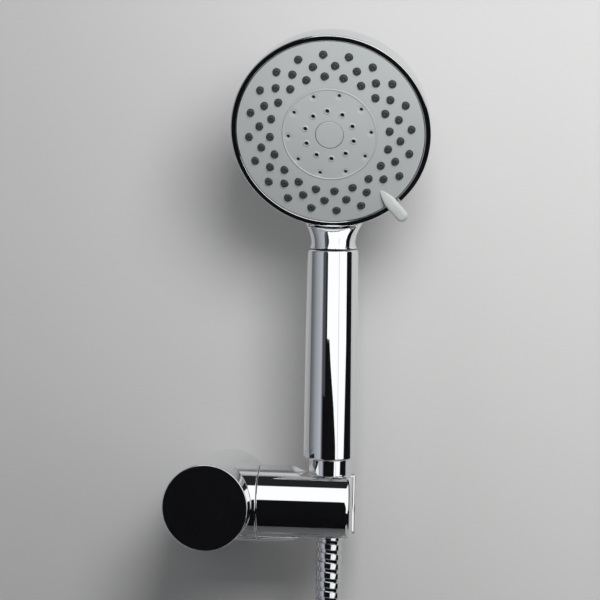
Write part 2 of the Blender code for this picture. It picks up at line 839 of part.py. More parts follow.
def head_shell():
    front = -BEZEL_BACK - GAP
    outer = [head_outline(i / 12) for i in range(13)]
    inner = [head_outline(i / 6, HEAD_WALL) for i in range(7)]
    outer = [(outer[0][0], front)] + [(r, -d) for r, d in outer if -d < front - MM]
    inner = [(inner[0][0], front)] + [(r, -d) for r, d in inner if -d < front - MM]
    outer[-1] = (0.0, outer[-1][1])
    inner[-1] = (0.0, inner[-1][1])
    shell = turned("head_shell", inner[::-1] + outer, HEAD_AXIS, CHROME, closed=False)
    shell = baked(shell)

    sections = []
    sides = 32
    for height, half, near, far in NECK:
        turns = [2 * math.pi * i / sides for i in range(sides)]
        sections.append(
            [
                (
                    half * MM * math.sin(t),
                    ((near + far) / 2 + (far - near) / 2 * math.cos(t)) * MM,
                    HANDLE_TOP + height * MM,
                )
                for t in turns
            ]
        )
    neck = loft("head_neck", sections, SOCKET_AXIS)
    base = HANDLE_TOP + NECK[0][0] * MM
    spigot = turned(
        "neck_spigot",
        disc(NECK_SPIGOT_RADIUS, base + MM, base - NECK_SPIGOT),
        SOCKET_AXIS,
        closed=False,
    )
    room = turned(
        "turning_room",
        disc(turning_radius() + 2 * GAP, 20 * MM, -turning_back() - PORT_PLATE - 2 * GAP),
        HEAD_AXIS,
        closed=False,
    )
    bore = turned(
        "neck_bore",
        disc(WATER_TUBE_RADIUS + GAP, WATER_TUBE_TOP + GAP, base - NECK_SPIGOT - MM),
        SOCKET_AXIS,
        closed=False,
        turns=32,
    )
    (low_y, low_z), (high_y, high_z) = (np.array(point) * MM for point in PASSAGE)
    tilt = -math.atan2(high_y - low_y, high_z - low_z)
    passage = turned(
        "neck_passage",
        disc(PASSAGE_RADIUS, math.hypot(high_y - low_y, high_z - low_z), -9 * MM),
        SOCKET_AXIS,
        closed=False,
        turns=SMALL_TURNS,
        location=(0, low_y, HANDLE_TOP + low_z),
        rotation=(tilt, 0, 0),
    )
    joined(shell, neck, spigot)
    cut(shell, room, bore, passage)


def turning_radius():
    """Outer radius of the spray body and of the face."""
    return HEAD_RADIUS - BEZEL_WIDTH - GAP


def turning_back():
    """Depth of the still port plate's front, behind the rim plane."""
    return TURNING_DEPTH + GAP


def spray_face():
    radius = turning_radius()
    nozzle_spots = [
        clockwise(share * HEAD_RADIUS, first + i * 360 / NOZZLES_PER_RING)
        + (share * HEAD_RADIUS,)
        for share, first in NOZZLE_RINGS
        for i in range(NOZZLES_PER_RING)
        if not near_lever(share * HEAD_RADIUS, first + i * 360 / NOZZLES_PER_RING)
    ]
    outline = domed_ring(radius, INSERT_RADIUS + GAP / 2, 0.0, FACE_THICKNESS)
    face = turned("face_plate", outline, HEAD_AXIS, GREY_PLASTIC)
    hole = NOZZLE_RADIUS + GAP
    below, above = -4 * MM, DOME_HEIGHT + 2 * MM
    holes = pegs("nozzle_holes", [(x, y, below, above, hole) for x, y, _ in nozzle_spots], 8, HEAD_AXIS)
    cut(face, holes)

    mat_drop = FACE_THICKNESS + GAP
    mat = turned(
        "nozzle_mat",
        domed_ring(radius - MM, INSERT_RADIUS + GAP / 2, mat_drop, MAT_THICKNESS),
        HEAD_AXIS,
        SILICONE,
    )
    nubs = pegs(
        "nozzle_nubs",
        [
            (x, y, dome(r) - mat_drop - MAT_THICKNESS / 2, dome(r) + NOZZLE_RISE, NOZZLE_RADIUS)
            for x, y, r in nozzle_spots
        ],
        8,
        HEAD_AXIS,
    )
    joined(mat, nubs)

    screw_top = dome(0) - CAP_THICKNESS - GAP
    insert_inner = CAP_RADIUS + GAP
    insert = turned(
        "face_insert",
        domed_ring(INSERT_RADIUS - GAP / 2, insert_inner, 0.0, FACE_THICKNESS + MAT_THICKNESS),
        HEAD_AXIS,
        GREY_PLASTIC,
    )
    jets = [
        (*clockwise(share * HEAD_RADIUS, first + i * 360 / JETS_PER_RING), below, above, JET_RADIUS)
        for share, first in JET_RINGS
        for i in range(JETS_PER_RING)
    ]
    cut(insert, pegs("jet_holes", jets, 6, HEAD_AXIS))

    turned(
        "centre_cap",
        [
            (0.0, dome(0)),
            (CAP_RADIUS - 0.4 * MM, dome(CAP_RADIUS)),
            (CAP_RADIUS, dome(CAP_RADIUS) - 0.4 * MM),
            (CAP_RADIUS, screw_top + GAP),
            (0.0, screw_top + GAP),
        ],
        HEAD_AXIS,
        GREY_PLASTIC,
        closed=False,
        turns=32,
    )

    body_drop = FACE_THICKNESS + MAT_THICKNESS + 2 * GAP
    hub = screw_top - SCREW_HEAD_HEIGHT - GAP
    shank = SCREW_RADIUS + GAP
    well = SCREW_HEAD + GAP
    radii = np.linspace(well + 2 * MM, radius, 5)
    turned(
        "spray_body",
        [
            (well, dome(well) - body_drop),
            *[(r, dome(r) - body_drop) for r in radii],
            (radius, -TURNING_DEPTH),
            (shank, -TURNING_DEPTH),
            (shank, hub),
            (well, hub),
        ],
        HEAD_AXIS,
        WHITE_PLASTIC,
    )
    bezel = turned(
        "bezel_ring",
        [
            (HEAD_RADIUS - 1.3 * MM, BEZEL_FRONT),
            (HEAD_RADIUS - 0.4 * MM, BEZEL_FRONT - 0.4 * MM),
            (HEAD_RADIUS, -0.8 * MM),
            (HEAD_RADIUS, -BEZEL_BACK),
            (HEAD_RADIUS - BEZEL_WIDTH, -BEZEL_BACK),
            (HEAD_RADIUS - BEZEL_WIDTH, 0.2 * MM),
            (HEAD_RADIUS - BEZEL_WIDTH + 0.5 * MM, BEZEL_FRONT),
        ],
        HEAD_AXIS,
        CHROME,
    )
    gap_half = LEVER_HALF_WIDTH + GAP
    deep = 5 * MM
    low = (-gap_half, HEAD_RADIUS - 6 * MM, -deep)
    high = (gap_half, HEAD_RADIUS + 3 * MM, deep)
    notch = block("bezel_notch", low, high, HEAD_AXIS)
    notch.rotation_euler = (0, 0, -math.radians(LEVER_ANGLE))
    cut(bezel, notch)
    return screw_top


def near_lever(radius, degrees):
    """Whether a nozzle would lie under the lever."""
    x, y = clockwise(radius, degrees)
    along = clockwise(1.0, LEVER_ANGLE)
    reach = x * along[0] + y * along[1]
    aside = abs(x * along[1] - y * along[0])
    return reach > LEVER_INNER - NOZZLE_RADIUS and aside < LEVER_HALF_WIDTH + NOZZLE_RADIUS


def lever():
    """A leaf that rises from a point on the face, passes through the bezel's notch and ends round."""
    stations = 10
    sides = 12
    sections = []
    for i in range(stations):
        share = i / (stations - 1)
        reach = LEVER_INNER + (LEVER_OUTER - LEVER_INNER) * share
        swell = min(1.0, 1.25 * share**0.55) * math.sqrt(max(0.0, 1 - max(0.0, (share - 0.84) / 0.165) ** 2))
        half = max(0.25 * MM, LEVER_HALF_WIDTH * swell)
        rise = min(1.0, share / 0.6)
        over_face = dome(min(reach, HEAD_RADIUS - BEZEL_WIDTH)) + GAP
        past_rim = min(1.0, max(0.0, (reach - HEAD_RADIUS + 3 * MM) / (2.5 * MM)))
        low = over_face + past_rim * (LEVER_UNDERSIDE - over_face)
        high = low + 0.5 * MM + (LEVER_TOP - low - 0.5 * MM) * math.sin(rise * math.pi / 2)
        end = math.sqrt(max(0.05, 1 - max(0.0, (share - 0.84) / 0.165) ** 2))
        middle, thick = (high + low) / 2, (high - low) / 2 * end
        ring_points = []
        for k in range(sides):
            t = 2 * math.pi * k / sides
            c, s = math.cos(t), math.sin(t)
            x = half * math.copysign(abs(c) ** 0.7, c)
            z = middle + thick * math.copysign(abs(s) ** 0.7, s)
            ring_points.append((x, reach, z))
        sections.append(ring_points)
    made = loft("selector_lever", sections, HEAD_AXIS, LEVER_PLASTIC)
    made.rotation_euler = (0, 0, -math.radians(LEVER_ANGLE))


def head_core(screw_top):
    """The still parts that the spray face turns on."""
    front = -turning_back()
    back = front - PORT_PLATE
    boss_end = -SCREW_DEPTH
    shank = SCREW_RADIUS + GAP
    seal_half = 1.0 * MM
    plate = turned(
        "port_plate",
        [
            (turning_radius() + GAP, front),
            (turning_radius() + GAP, back),
            (SCREW_BOSS, back),
            (SCREW_BOSS, boss_end),
            (shank, boss_end),
            (shank, front),
            (CORE_SEAL_RADIUS - seal_half, front),
            (CORE_SEAL_RADIUS - seal_half, front - 2 * seal_half + GAP),
            (CORE_SEAL_RADIUS + seal_half, front - 2 * seal_half + GAP),
            (CORE_SEAL_RADIUS + seal_half, front),
        ],
        HEAD_AXIS,
        WHITE_PLASTIC,
    )
    plate = baked(plate)
    detent_y = -DETENT_CIRCLE
    boss = pegs(
        "detent_boss",
        [(0, -detent_y, back - DETENT_DEPTH, back + MM, DETENT_BOSS)],
        16,
        HEAD_AXIS,
    )
    feeds = [
        (*clockwise(FEED_CIRCLE, i * 360 / FEED_HOLES), back - MM, front + MM, FEED_RADIUS)
        for i in range(FEED_HOLES)
    ]
    pocket_floor = back - DETENT_DEPTH + MM
    pocket = (0, -detent_y, pocket_floor, front + MM, DETENT_BALL + GAP)
    joined(plate, boss)
    cut(plate, pegs("feed_holes", feeds, 12, HEAD_AXIS), pegs("detent_pocket", [pocket], 16, HEAD_AXIS))

    o_ring("spindle_seal", CORE_SEAL_RADIUS, seal_half - GAP, front - seal_half + GAP / 2, HEAD_AXIS)

    ball_top = front - 0.1 * MM
    half_turn = [math.pi * i / 8 for i in range(9)]
    profile = [
        (DETENT_BALL * math.sin(t), ball_top - DETENT_BALL + DETENT_BALL * math.cos(t)) for t in half_turn
    ]
    profile[0], profile[-1] = (0.0, profile[0][1]), (0.0, profile[-1][1])
    turned("detent_ball", profile, HEAD_AXIS, STEEL, closed=False, turns=16, location=(0, -detent_y, 0))

    wire = 0.25 * MM
    coils, per_coil = 4, 8
    low, high = pocket_floor + GAP + wire, ball_top - 2 * DETENT_BALL - GAP - wire
    points = []
    for i in range(coils * per_coil + 1):
        t = 2 * math.pi * i / per_coil
        height = low + (high - low) * i / (coils * per_coil)
        radius = DETENT_BALL - wire
        points.append((radius * math.cos(t), -detent_y + radius * math.sin(t), height))
    piped("detent_spring", points, wire, HEAD_AXIS, STEEL, resolution=1)

    screw = turned(
        "centre_screw",
        [
            (0.0, screw_top),
            (SCREW_HEAD, screw_top),
            (SCREW_HEAD, screw_top - SCREW_HEAD_HEIGHT),
            (SCREW_RADIUS, screw_top - SCREW_HEAD_HEIGHT),
            (SCREW_RADIUS, boss_end + MM),
            (0.0, boss_end + MM),
        ],
        HEAD_AXIS,
        STEEL,
        closed=False,
        turns=SMALL_TURNS,
    )
    key = turned(
        "screw_key",
        disc(SCREW_RADIUS, screw_top + MM, screw_top - SCREW_HEAD_HEIGHT * 0.7),
        HEAD_AXIS,
        closed=False,
        turns=6,
    )
    cut(screw, key)


# ---- hose ----
def hank_run():
    """Length of each straight run, so that the hose has its whole length."""
    folds = (HANK_RUNS - 1) * math.pi * HANK_FOLD
    return (HOSE_LENGTH - HANK_DROP - folds - TAIL) / HANK_RUNS


def hose():
    """The hose hangs from the cone nut, and its spare length is folded into a tied hank below."""
    run = hank_run()
    upper, lower = -HANK_DROP, -HANK_DROP - run
    outer = HANK_FOLD + HOSE_RADIUS
    inner = HANK_FOLD - HOSE_RADIUS
    clear = math.sqrt(outer**2 - inner**2) + 2 * GAP  # where the hose clears the round of a fold
    layers = (HANK_RUNS + 1) // 2
    depth = (layers - 1) * HANK_LAYER

    drop = np.linspace(-GAP, upper + clear, 4)
    piped("hose", [(0, 0, z) for z in drop], HOSE_RADIUS, HOSE_AXIS, CHROME)
    hank(upper, lower, inner, outer, depth)
    tail_end = lower - TAIL
    tail = np.linspace(lower - clear, tail_end, 3)
    piped("hose_tail", [(0, depth, z) for z in tail], HOSE_RADIUS, HOSE_AXIS, CHROME)

    crimp_top = tail_end - GAP
    crimp_end = crimp_top - CRIMP_LENGTH
    collar = 2.0 * MM
    turned(
        "hose_end_crimp",
        [
            (CRIMP_RADIUS, crimp_top),
            (CRIMP_RADIUS, crimp_end + collar),
            (CRIMP_COLLAR, crimp_end + collar),
            (CRIMP_COLLAR, crimp_end),
            (SWIVEL_BORE, crimp_end),
            (SWIVEL_BORE, crimp_top),
        ],
        HOSE_AXIS,
        CHROME,
        turns=32,
        location=(0, depth, 0),
    )
    nut_top = crimp_end + collar + GAP + 2.2 * MM
    nut_end = nut_top - END_NUT_LENGTH
    corner = END_NUT_FLATS / math.cos(math.pi / 6)
    nut = turned(
        "hose_end_nut",
        disc(corner, nut_top, nut_end),
        HOSE_AXIS,
        CHROME,
        closed=False,
        turns=6,
        location=(0, depth, 0),
    )
    rounding = turned(
        "end_nut_rounding",
        [
            (0.0, nut_top + MM),
            (END_NUT_FLATS - MM, nut_top + MM),
            (corner + MM, nut_top - 1.6 * MM),
            (corner + MM, nut_end + 1.6 * MM),
            (END_NUT_FLATS - MM, nut_end - MM),
            (0.0, nut_end - MM),
        ],
        HOSE_AXIS,
        closed=False,
        location=(0, depth, 0),
    )
    boolean(nut, rounding, "INTERSECT")
    way = turned(
        "end_nut_way",
        [
            (0.0, nut_top + MM),
            (CRIMP_RADIUS + GAP, nut_top + MM),
            (CRIMP_RADIUS + GAP, crimp_end + collar + GAP),
            (END_NUT_BORE, crimp_end + collar + GAP),
            (END_NUT_BORE, nut_end - MM),
            (0.0, nut_end - MM),
        ],
        HOSE_AXIS,
        closed=False,
        turns=32,
        location=(0, depth, 0),
    )
    cut(nut, way)
    turned(
        "hose_end_washer",
        ring(CRIMP_COLLAR, SEAL_BORE, crimp_end - GAP, crimp_end - GAP - SEAL_THICKNESS),
        HOSE_AXIS,
        RUBBER,
        turns=32,
        location=(0, depth, 0),
    )


def stadium(half_width, upper, lower, steps=12):
    """A closed outline in the X-Z plane: two straight sides and two half circles."""
    points = []
    for centre, start in ((upper, 0.0), (lower, math.pi)):
        for i in range(steps + 1):
            t = start + math.pi * i / steps
            points.append((half_width * math.cos(t), centre + half_width * math.sin(t)))
    return points


def frame(name, outer, inner, thickness, parent, material, location=(0, 0, 0), upright=True):
    """The band between two outlines of equally many points, with a thickness across their plane."""
    work = bmesh.new()
    rings = [
        [work.verts.new((x, y, height)) for x, y in outline]
        for outline, height in (
            (outer, thickness / 2),
            (outer, -thickness / 2),
            (inner, -thickness / 2),
            (inner, thickness / 2),
        )
    ]
    count = len(outer)
    for near, far in zip(rings, rings[1:] + rings[:1]):
        for i in range(count):
            j = (i + 1) % count
            work.faces.new((near[i], near[j], far[j], far[i]))
    bmesh.ops.recalc_face_normals(work, faces=work.faces)
    mesh = bpy.data.meshes.new(name)
    work.to_mesh(mesh)
    work.free()
    turn = (math.pi / 2, 0, 0) if upright else (0, 0, 0)
    return add(name, mesh, parent, material, location=location, rotation=turn)


def rounded_box(half_x, half_y, radius, steps=4):
    """A closed outline: a rectangle with round corners."""
    points = []
    for corner, (sx, sy) in enumerate(((1, 1), (-1, 1), (-1, -1), (1, -1))):
        for i in range(steps + 1):
            t = math.pi / 2 * (corner + i / steps)
            points.append(
                (sx * (half_x - radius) + radius * math.cos(t), sy * (half_y - radius) + radius * math.sin(t))
            )
    return points


def hank(upper, lower, inner, outer, depth):
    middle = (-HANK_FOLD, depth / 2, 0.0)
    thickness = depth + 2 * HOSE_RADIUS
    frame(
        "hose_hank",
        stadium(outer, upper, lower),
        stadium(inner, upper, lower),
        thickness,
        HOSE_AXIS,
        CHROME,
        location=middle,
    )
    half_x, half_y = HOSE_RADIUS + GAP, thickness / 2 + GAP
    corner = TIE_THICKNESS + GAP
    for x, side in ((-2 * HANK_FOLD, "left"), (0.0, "right")):
        frame(
            "hank_tie_" + side,
            rounded_box(half_x + TIE_THICKNESS, half_y + TIE_THICKNESS, corner),
            rounded_box(half_x, half_y, corner - TIE_THICKNESS),
            TIE_HEIGHT,
            HOSE_AXIS,
            RUBBER,
            location=(x, depth / 2, (upper + lower) / 2),
            upright=False,
        )


def main():
    inner = bracket()
    wall_fixing(inner)
    holder_arm()
    pivot_bolt()
    cone_nut()
    spigot = connector()
    handle(spigot)
    head_shell()
    screw_top = spray_face()
    lever()
    head_core(screw_top)
    hose()
    bpy.context.view_layer.update()


main()
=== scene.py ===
# %% [markdown]
# # A handheld shower head on its wall holder
# This lesson dresses a working model of a shower set: a wall tube with a turning holder arm, a chrome
# handset with a grey spray face, and its metal hose. The frame brings every joint and measure, so each
# shape below is worked out from the joints and from a few sizes in millimetres.

# %% Load the frame
import json
import math

import bpy
import numpy as np
from mathutils import Matrix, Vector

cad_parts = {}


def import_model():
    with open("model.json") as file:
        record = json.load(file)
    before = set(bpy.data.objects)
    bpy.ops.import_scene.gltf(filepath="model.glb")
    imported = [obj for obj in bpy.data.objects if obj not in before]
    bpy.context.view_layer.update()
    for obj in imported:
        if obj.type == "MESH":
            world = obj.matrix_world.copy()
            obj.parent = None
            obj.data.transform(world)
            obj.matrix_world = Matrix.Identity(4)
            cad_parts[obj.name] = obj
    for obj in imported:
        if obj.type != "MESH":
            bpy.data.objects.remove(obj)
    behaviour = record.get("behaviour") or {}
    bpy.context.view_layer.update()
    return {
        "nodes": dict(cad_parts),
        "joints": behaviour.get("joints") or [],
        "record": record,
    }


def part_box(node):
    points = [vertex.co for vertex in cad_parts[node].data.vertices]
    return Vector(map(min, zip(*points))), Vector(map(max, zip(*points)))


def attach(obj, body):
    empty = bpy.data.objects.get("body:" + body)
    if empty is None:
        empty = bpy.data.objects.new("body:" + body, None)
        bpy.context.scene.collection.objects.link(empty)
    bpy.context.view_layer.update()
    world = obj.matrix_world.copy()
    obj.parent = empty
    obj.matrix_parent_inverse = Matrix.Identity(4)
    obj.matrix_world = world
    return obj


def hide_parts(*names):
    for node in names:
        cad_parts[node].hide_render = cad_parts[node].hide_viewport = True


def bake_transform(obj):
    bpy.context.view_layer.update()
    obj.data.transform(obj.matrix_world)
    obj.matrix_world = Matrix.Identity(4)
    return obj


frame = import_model()
JOINTS = {joint["name"]: joint for joint in frame["joints"]}
MM = 0.001

# %% [markdown]
# ## Places to work from
# Every piece here is round about one of a few axes, so it is easiest to draw it standing up on its own
# axis and then set it in place. A *seat* is an origin and three directions. The joints of the frame
# give two of them: the handset turns about its handle, and the spray face turns about its middle.


# %% Seats
def seat(origin, up):
    """An origin in metres and three unit directions, as rows: right, the one across both, and up."""
    up = np.array(up, float) / np.linalg.norm(up)
    right = np.array((1.0, 0.0, 0.0)) - up * up[0]
    right = right / np.linalg.norm(right)
    return np.array(origin, float), np.array([right, np.cross(up, right), up])


def placed(points, where):
    """Points in millimetres on a seat, as metres in the frame: origin plus each share of a direction."""
    origin, directions = where
    return origin + np.asarray(points) * MM @ directions


def on_seat(p, where):
    """Points of the frame in millimetres, as a seat sees them: one array for each of its directions."""
    origin, directions = where
    return np.moveaxis((p - origin / MM) @ directions.T, -1, 0)


def towards(azimuth, elevation):
    """The direction at an azimuth from straight out of the wall and at an elevation, in degrees."""
    a, e = math.radians(azimuth), math.radians(elevation)
    return np.array((math.sin(a) * math.cos(e), -math.cos(a) * math.cos(e), math.sin(e)))


HANDLE, FACE = (
    seat(JOINTS[name]["pos_m"], JOINTS[name]["axis"]) for name in ("handset_turn", "spray_select")
)
WALL = seat((0, 0, 0), (0, -1, 0))
HOSE_EXIT = np.array(JOINTS["hose_hang"]["pos_m"])
print("the face's middle stands at", np.round(FACE[0] / MM, 1), "mm")

# %% [markdown]
# ## The camera
# It stands at eye height, a little to the right, and looks almost straight at the wall. A long lens
# keeps the tube's front nearly round.

# %% Camera
VIEW_AZIMUTH, VIEW_ELEVATION, VIEW_ROLL = 6.86, 2.01, math.radians(1.08)
VIEW_DISTANCE = 1.4336
VIEW_TARGET = np.array((0.0426, -0.040, 0.1102))
LENS, SENSOR = 156.0, 36.0


def new_object(name, data):
    """An object that holds some data, at the origin of the scene."""
    obj = bpy.data.objects.new(name, data)
    bpy.context.scene.collection.objects.link(obj)
    return obj


def stand(obj, directions, place):
    """Set an object in its place, with its own x, y and z along three directions."""
    columns = (*directions, place)
    obj.matrix_world = Matrix([[column[row] for column in columns] for row in range(3)] + [[0, 0, 0, 1]])


def make_camera():
    back = towards(VIEW_AZIMUTH, VIEW_ELEVATION)
    level = np.cross(-back, (0, 0, 1))
    level /= np.linalg.norm(level)
    above = np.cross(level, -back)
    c, s = math.cos(VIEW_ROLL), math.sin(VIEW_ROLL)
    data = bpy.data.cameras.new("view")
    data.lens, data.sensor_width = LENS, SENSOR
    data.clip_start, data.clip_end = 0.05, 20.0
    camera = new_object("view", data)
    rolled = (c * level + s * above, c * above - s * level, back)
    stand(camera, rolled, VIEW_TARGET + VIEW_DISTANCE * back)
    bpy.context.scene.camera = camera
    print("the camera stands", VIEW_DISTANCE, "m away")


make_camera()

# %% [markdown]
# ## From arrays to meshes
# A surface is a grid of points: rows run along its profile and columns run round it. Where the shape
# has a formula, so have its normals, and chrome needs them: a mirror shows every facet. The mesh keeps
# these exact normals. Points that fall together, as on an axis, are welded into one.

# %% Meshes from numpy
WELD_GRID = 1e-7


def piece(name, points, quads, normals, material, body, triangles=(), *, slot, replaces=()):
    """An object of quads and triangles with their own normals, that rides on a body."""
    faces = [*quads.tolist(), *np.asarray(triangles).tolist()]
    mesh = bpy.data.meshes.new(name)
    mesh.from_pydata(points.tolist(), [], faces)
    mesh.polygons.foreach_set("use_smooth", np.ones(len(faces), bool))
    lengths = np.linalg.norm(normals, axis=1, keepdims=True)
    mesh.normals_split_custom_set_from_vertices((normals / np.maximum(lengths, 1e-12)).tolist())
    mesh.update()
    mesh.materials.append(material)
    obj = new_object(name, mesh)
    if body:
        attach(obj, body)
    if replaces:
        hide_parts(*replaces)
    print(f"{name}: {len(points)} points, {len(faces)} faces")
    return obj


def welded(name, points, quads, normals, material, body, **more):
    """A piece whose points that fall together are one. Quads that lose a corner become triangles."""
    rounded = np.round(points / WELD_GRID)
    _, first, index = np.unique(rounded, axis=0, return_index=True, return_inverse=True)
    quads = index.reshape(-1)[quads]
    repeats = quads == np.roll(quads, -1, axis=1)
    lost = repeats.sum(axis=1)
    triangles = quads[lost == 1][~repeats[lost == 1]].reshape(-1, 3)
    points, whole, normals = points[first], quads[lost == 0], normals[first]
    return piece(name, points, whole, normals, material, body, triangles, **more)


def grid_quads(rows, columns, wrap_rows=False, wrap_columns=True):
    """Corner numbers of the squares of a grid, which may close on itself either way."""
    here = np.arange(rows * columns).reshape(rows, columns)
    below, beside = np.roll(here, -1, axis=0), np.roll(here, -1, axis=1)
    corners = np.stack([here, below, np.roll(below, -1, axis=1), beside], axis=-1)
    return corners[: rows - (not wrap_rows), : columns - (not wrap_columns)].reshape(-1, 4)


def face_normals(points, quads):
    """A normal for each point: the sum of the cross products of the diagonals of the quads around it."""
    a, b, c, d = (points[quads[:, k]] for k in range(4))
    flat = np.cross(c - a, d - b)
    total = np.zeros_like(points)
    for k in range(4):
        np.add.at(total, quads[:, k], flat)
    return total


# %% [markdown]
# ## Profiles with rounded corners
# A turned piece is its profile carried round an axis. The profile is a few corners, each with the
# radius of its rounding, which becomes a true arc. It runs down the piece's outer side, so the outside
# always lies on its left, and that gives the normals for free.

# %% Profiles
ARC_STEP = math.radians(12)
SHARP = 1e-4


def profile(*corners, closed=False):
    """Points and normals of a path through (radius, height, rounding) corners, each corner an arc that
    touches both its sides: it starts rounding times tan(half the turn) before the corner."""
    spots = np.array(corners, float)[:, :2]
    ahead = np.roll(spots, -1, axis=0) - spots
    ahead /= np.linalg.norm(ahead, axis=1, keepdims=True)
    points, normals = [], []
    for i, (_, _, rounding) in enumerate(corners):
        come, go = ahead[i - 1], ahead[i]
        loose = not closed and i in (0, len(spots) - 1)
        if loose:
            come = go = go if i == 0 else come
        turn = math.atan2(come[0] * go[1] - come[1] * go[0], come @ go)
        steps = 1 if loose else max(2, math.ceil(abs(turn) / ARC_STEP) + 1)
        share = np.linspace(0, turn, steps)[:, None]
        side = np.array([-come[1], come[0]])
        normal = side * np.cos(share) - come * np.sin(share)
        reach = max(rounding, SHARP)
        start = spots[i] - come * reach * math.tan(abs(turn) / 2)
        points.append(start + math.copysign(1.0, turn) * reach * (side - normal))
        normals.append(normal)
    return np.concatenate(points), np.concatenate(normals)


def circle(count):
    """Angles evenly round a circle."""
    return np.linspace(0, 2 * math.pi, count, endpoint=False)


def turn_points(outline, outline_normals, angle):
    """A profile of (radius, height) carried round the up direction: (r cos a, r sin a, h)."""

    def carried(pair):
        across, height = pair[:, :1], pair[:, 1:]
        grid = [across * np.cos(angle), across * np.sin(angle), height + 0 * angle]
        return np.stack(grid, axis=-1).reshape(-1, 3)

    return carried(outline), carried(outline_normals)


def turned(name, outline, where, material, body, turns=192, closed=False, **more):
    """A whole turned piece on a seat, from a profile."""
    points, normals = turn_points(*outline, circle(turns))
    quads = grid_quads(len(outline[0]), turns, wrap_rows=closed)
    return welded(name, placed(points, where), quads, normals @ where[1], material, body, **more)


# %% [markdown]
# ## Shapes carved from a distance
# The holder arm and the shower head are not round about one axis. Each is written as a *distance*: a
# number for every point in space that is negative inside, and cuts and joins are the larger or smaller
# of two distances. The surface is where the distance is zero: a grid finds it, and then each point is
# moved along the slope until it lies on it.

# %% Distances
CARVE_MOVES = 6


def round_cut(first, second, radius):
    """The larger of two distances, with the outer corner between them rounded to a radius."""
    a, b = np.maximum(first + radius, 0), np.maximum(second + radius, 0)
    return np.minimum(np.maximum(first, second), -radius) + np.hypot(a, b)


def round_join(first, second, radius):
    """The smaller of two distances, with the inner corner between them filled to a radius."""
    return -round_cut(-first, -second, radius)


def slope(field, points, step):
    """How fast a distance grows along each direction, from points a small step apart."""
    moves = np.eye(3) * step
    return np.stack([(field(points + m) - field(points - m)) / (2 * step) for m in moves], axis=-1)


def carve(field, low, high, step):
    """The surface where a distance is zero, inside a box. Every cell of a grid that the surface crosses
    gets one point, and every grid edge that it crosses gets the quad of the four cells around it."""
    axes = [np.arange(a, b + step, step) for a, b in zip(low, high)]
    inside = field(np.stack(np.meshgrid(*axes, indexing="ij"), axis=-1)) < 0
    count = np.zeros([n - 1 for n in inside.shape], np.int8)
    for x, y, z in np.ndindex(2, 2, 2):
        count += inside[x:, y:, z:][: count.shape[0], : count.shape[1], : count.shape[2]]
    crossed = (count > 0) & (count < 8)
    number = np.full(count.shape, -1)
    number[crossed] = np.arange(crossed.sum())
    points = np.array(low) + (np.argwhere(crossed) + 0.5) * step
    fine = step * 0.01
    for _ in range(CARVE_MOVES):
        rise = slope(field, points, fine)
        move = field(points)[:, None] * rise / np.maximum((rise**2).sum(axis=1, keepdims=True), 1e-6)
        points = points - np.clip(move, -step, step)
    quads = []
    for order in ((0, 1, 2), (1, 2, 0), (2, 0, 1)):
        here, cell = (np.moveaxis(grid, order, (0, 1, 2)) for grid in (inside, number))
        change = here[1:, 1:-1, 1:-1] != here[:-1, 1:-1, 1:-1]
        a, b, c = (np.argwhere(change) + (0, 1, 1)).T
        around = ((-1, -1), (0, -1), (0, 0), (-1, 0))
        quad = np.stack([cell[a, b + i, c + j] for i, j in around], axis=-1)
        quads.append(np.where(here[a, b, c][:, None], quad, quad[:, ::-1]))
    return points, np.concatenate(quads), slope(field, points, fine)


def carved(name, field, low, high, step, material, body, **more):
    """A carved piece, from a distance in millimetres of the frame."""
    points, quads, normals = carve(field, low, high, step)
    return piece(name, points * MM, quads, normals, material, body, **more)


# %% [markdown]
# ## Finishes
# Bright chrome is a mirror with a film: years of wiping leave soft streaks and faint rings of dried
# drops. One shader group makes that film, as a mask that each chrome material adds to its roughness.
# The plastics take the fine grain of their mould from a second group.


# %% Nodes
def feed(tree, node, inputs):
    """Give a node's inputs, by number or name, a link from another socket or a plain value."""
    for key, value in inputs.items():
        if isinstance(value, bpy.types.NodeSocket):
            tree.links.new(value, node.inputs[key])
        else:
            node.inputs[key].default_value = value
    return node.outputs


def math_node(tree, operation, first, second):
    node = tree.nodes.new("ShaderNodeMath")
    node.operation = operation
    return feed(tree, node, {0: first, 1: second})[0]


def product(tree, first, *others):
    for value in others:
        first = math_node(tree, "MULTIPLY", first, value)
    return first


def vector_node(tree, operation, first, second):
    """A Vector Math node: a sum of two, or one scaled by a number."""
    node = tree.nodes.new("ShaderNodeVectorMath")
    node.operation = operation
    return feed(tree, node, {0: first, "Scale" if operation == "SCALE" else 1: second})["Vector"]


def remap(tree, value, low, high, start, end, smooth=False):
    """A value that runs from start at low to end at high, and stays there outside."""
    node = tree.nodes.new("ShaderNodeMapRange")
    if smooth:
        node.interpolation_type = "SMOOTHSTEP"
    ends = {"From Min": low, "From Max": high, "To Min": start, "To Max": end}
    return feed(tree, node, {"Value": value, **ends})["Result"]


def mix_colours(tree, factor, first, second):
    """The first colour where a factor is 0, and the second where it is 1."""
    node = tree.nodes.new("ShaderNodeMix")
    node.data_type = "RGBA"
    return feed(tree, node, {"Factor": factor, "A": first, "B": second})["Result"]


def noise(tree, vector, scale, detail=2.0, roughness=0.5):
    values = {"Vector": vector, "Scale": scale, "Detail": detail, "Roughness": roughness}
    return feed(tree, tree.nodes.new("ShaderNodeTexNoise"), values)["Fac"]


def raise_surface(tree, shader, height, strength, distance):
    """Bump a shader's normal by a height."""
    values = {"Strength": strength, "Distance": distance, "Height": height}
    feed(tree, shader, {"Normal": feed(tree, tree.nodes.new("ShaderNodeBump"), values)["Normal"]})


# %% Shader groups
STREAK_STRETCH = (1.0, 1.0, 0.25)
STREAK_SCALE, DROP_SCALE, DROP_PATCHES = 240.0, 130.0, 60.0
DROP_RING, DROP_LINE, DROP_SHARE = 0.24, 0.012, 0.6


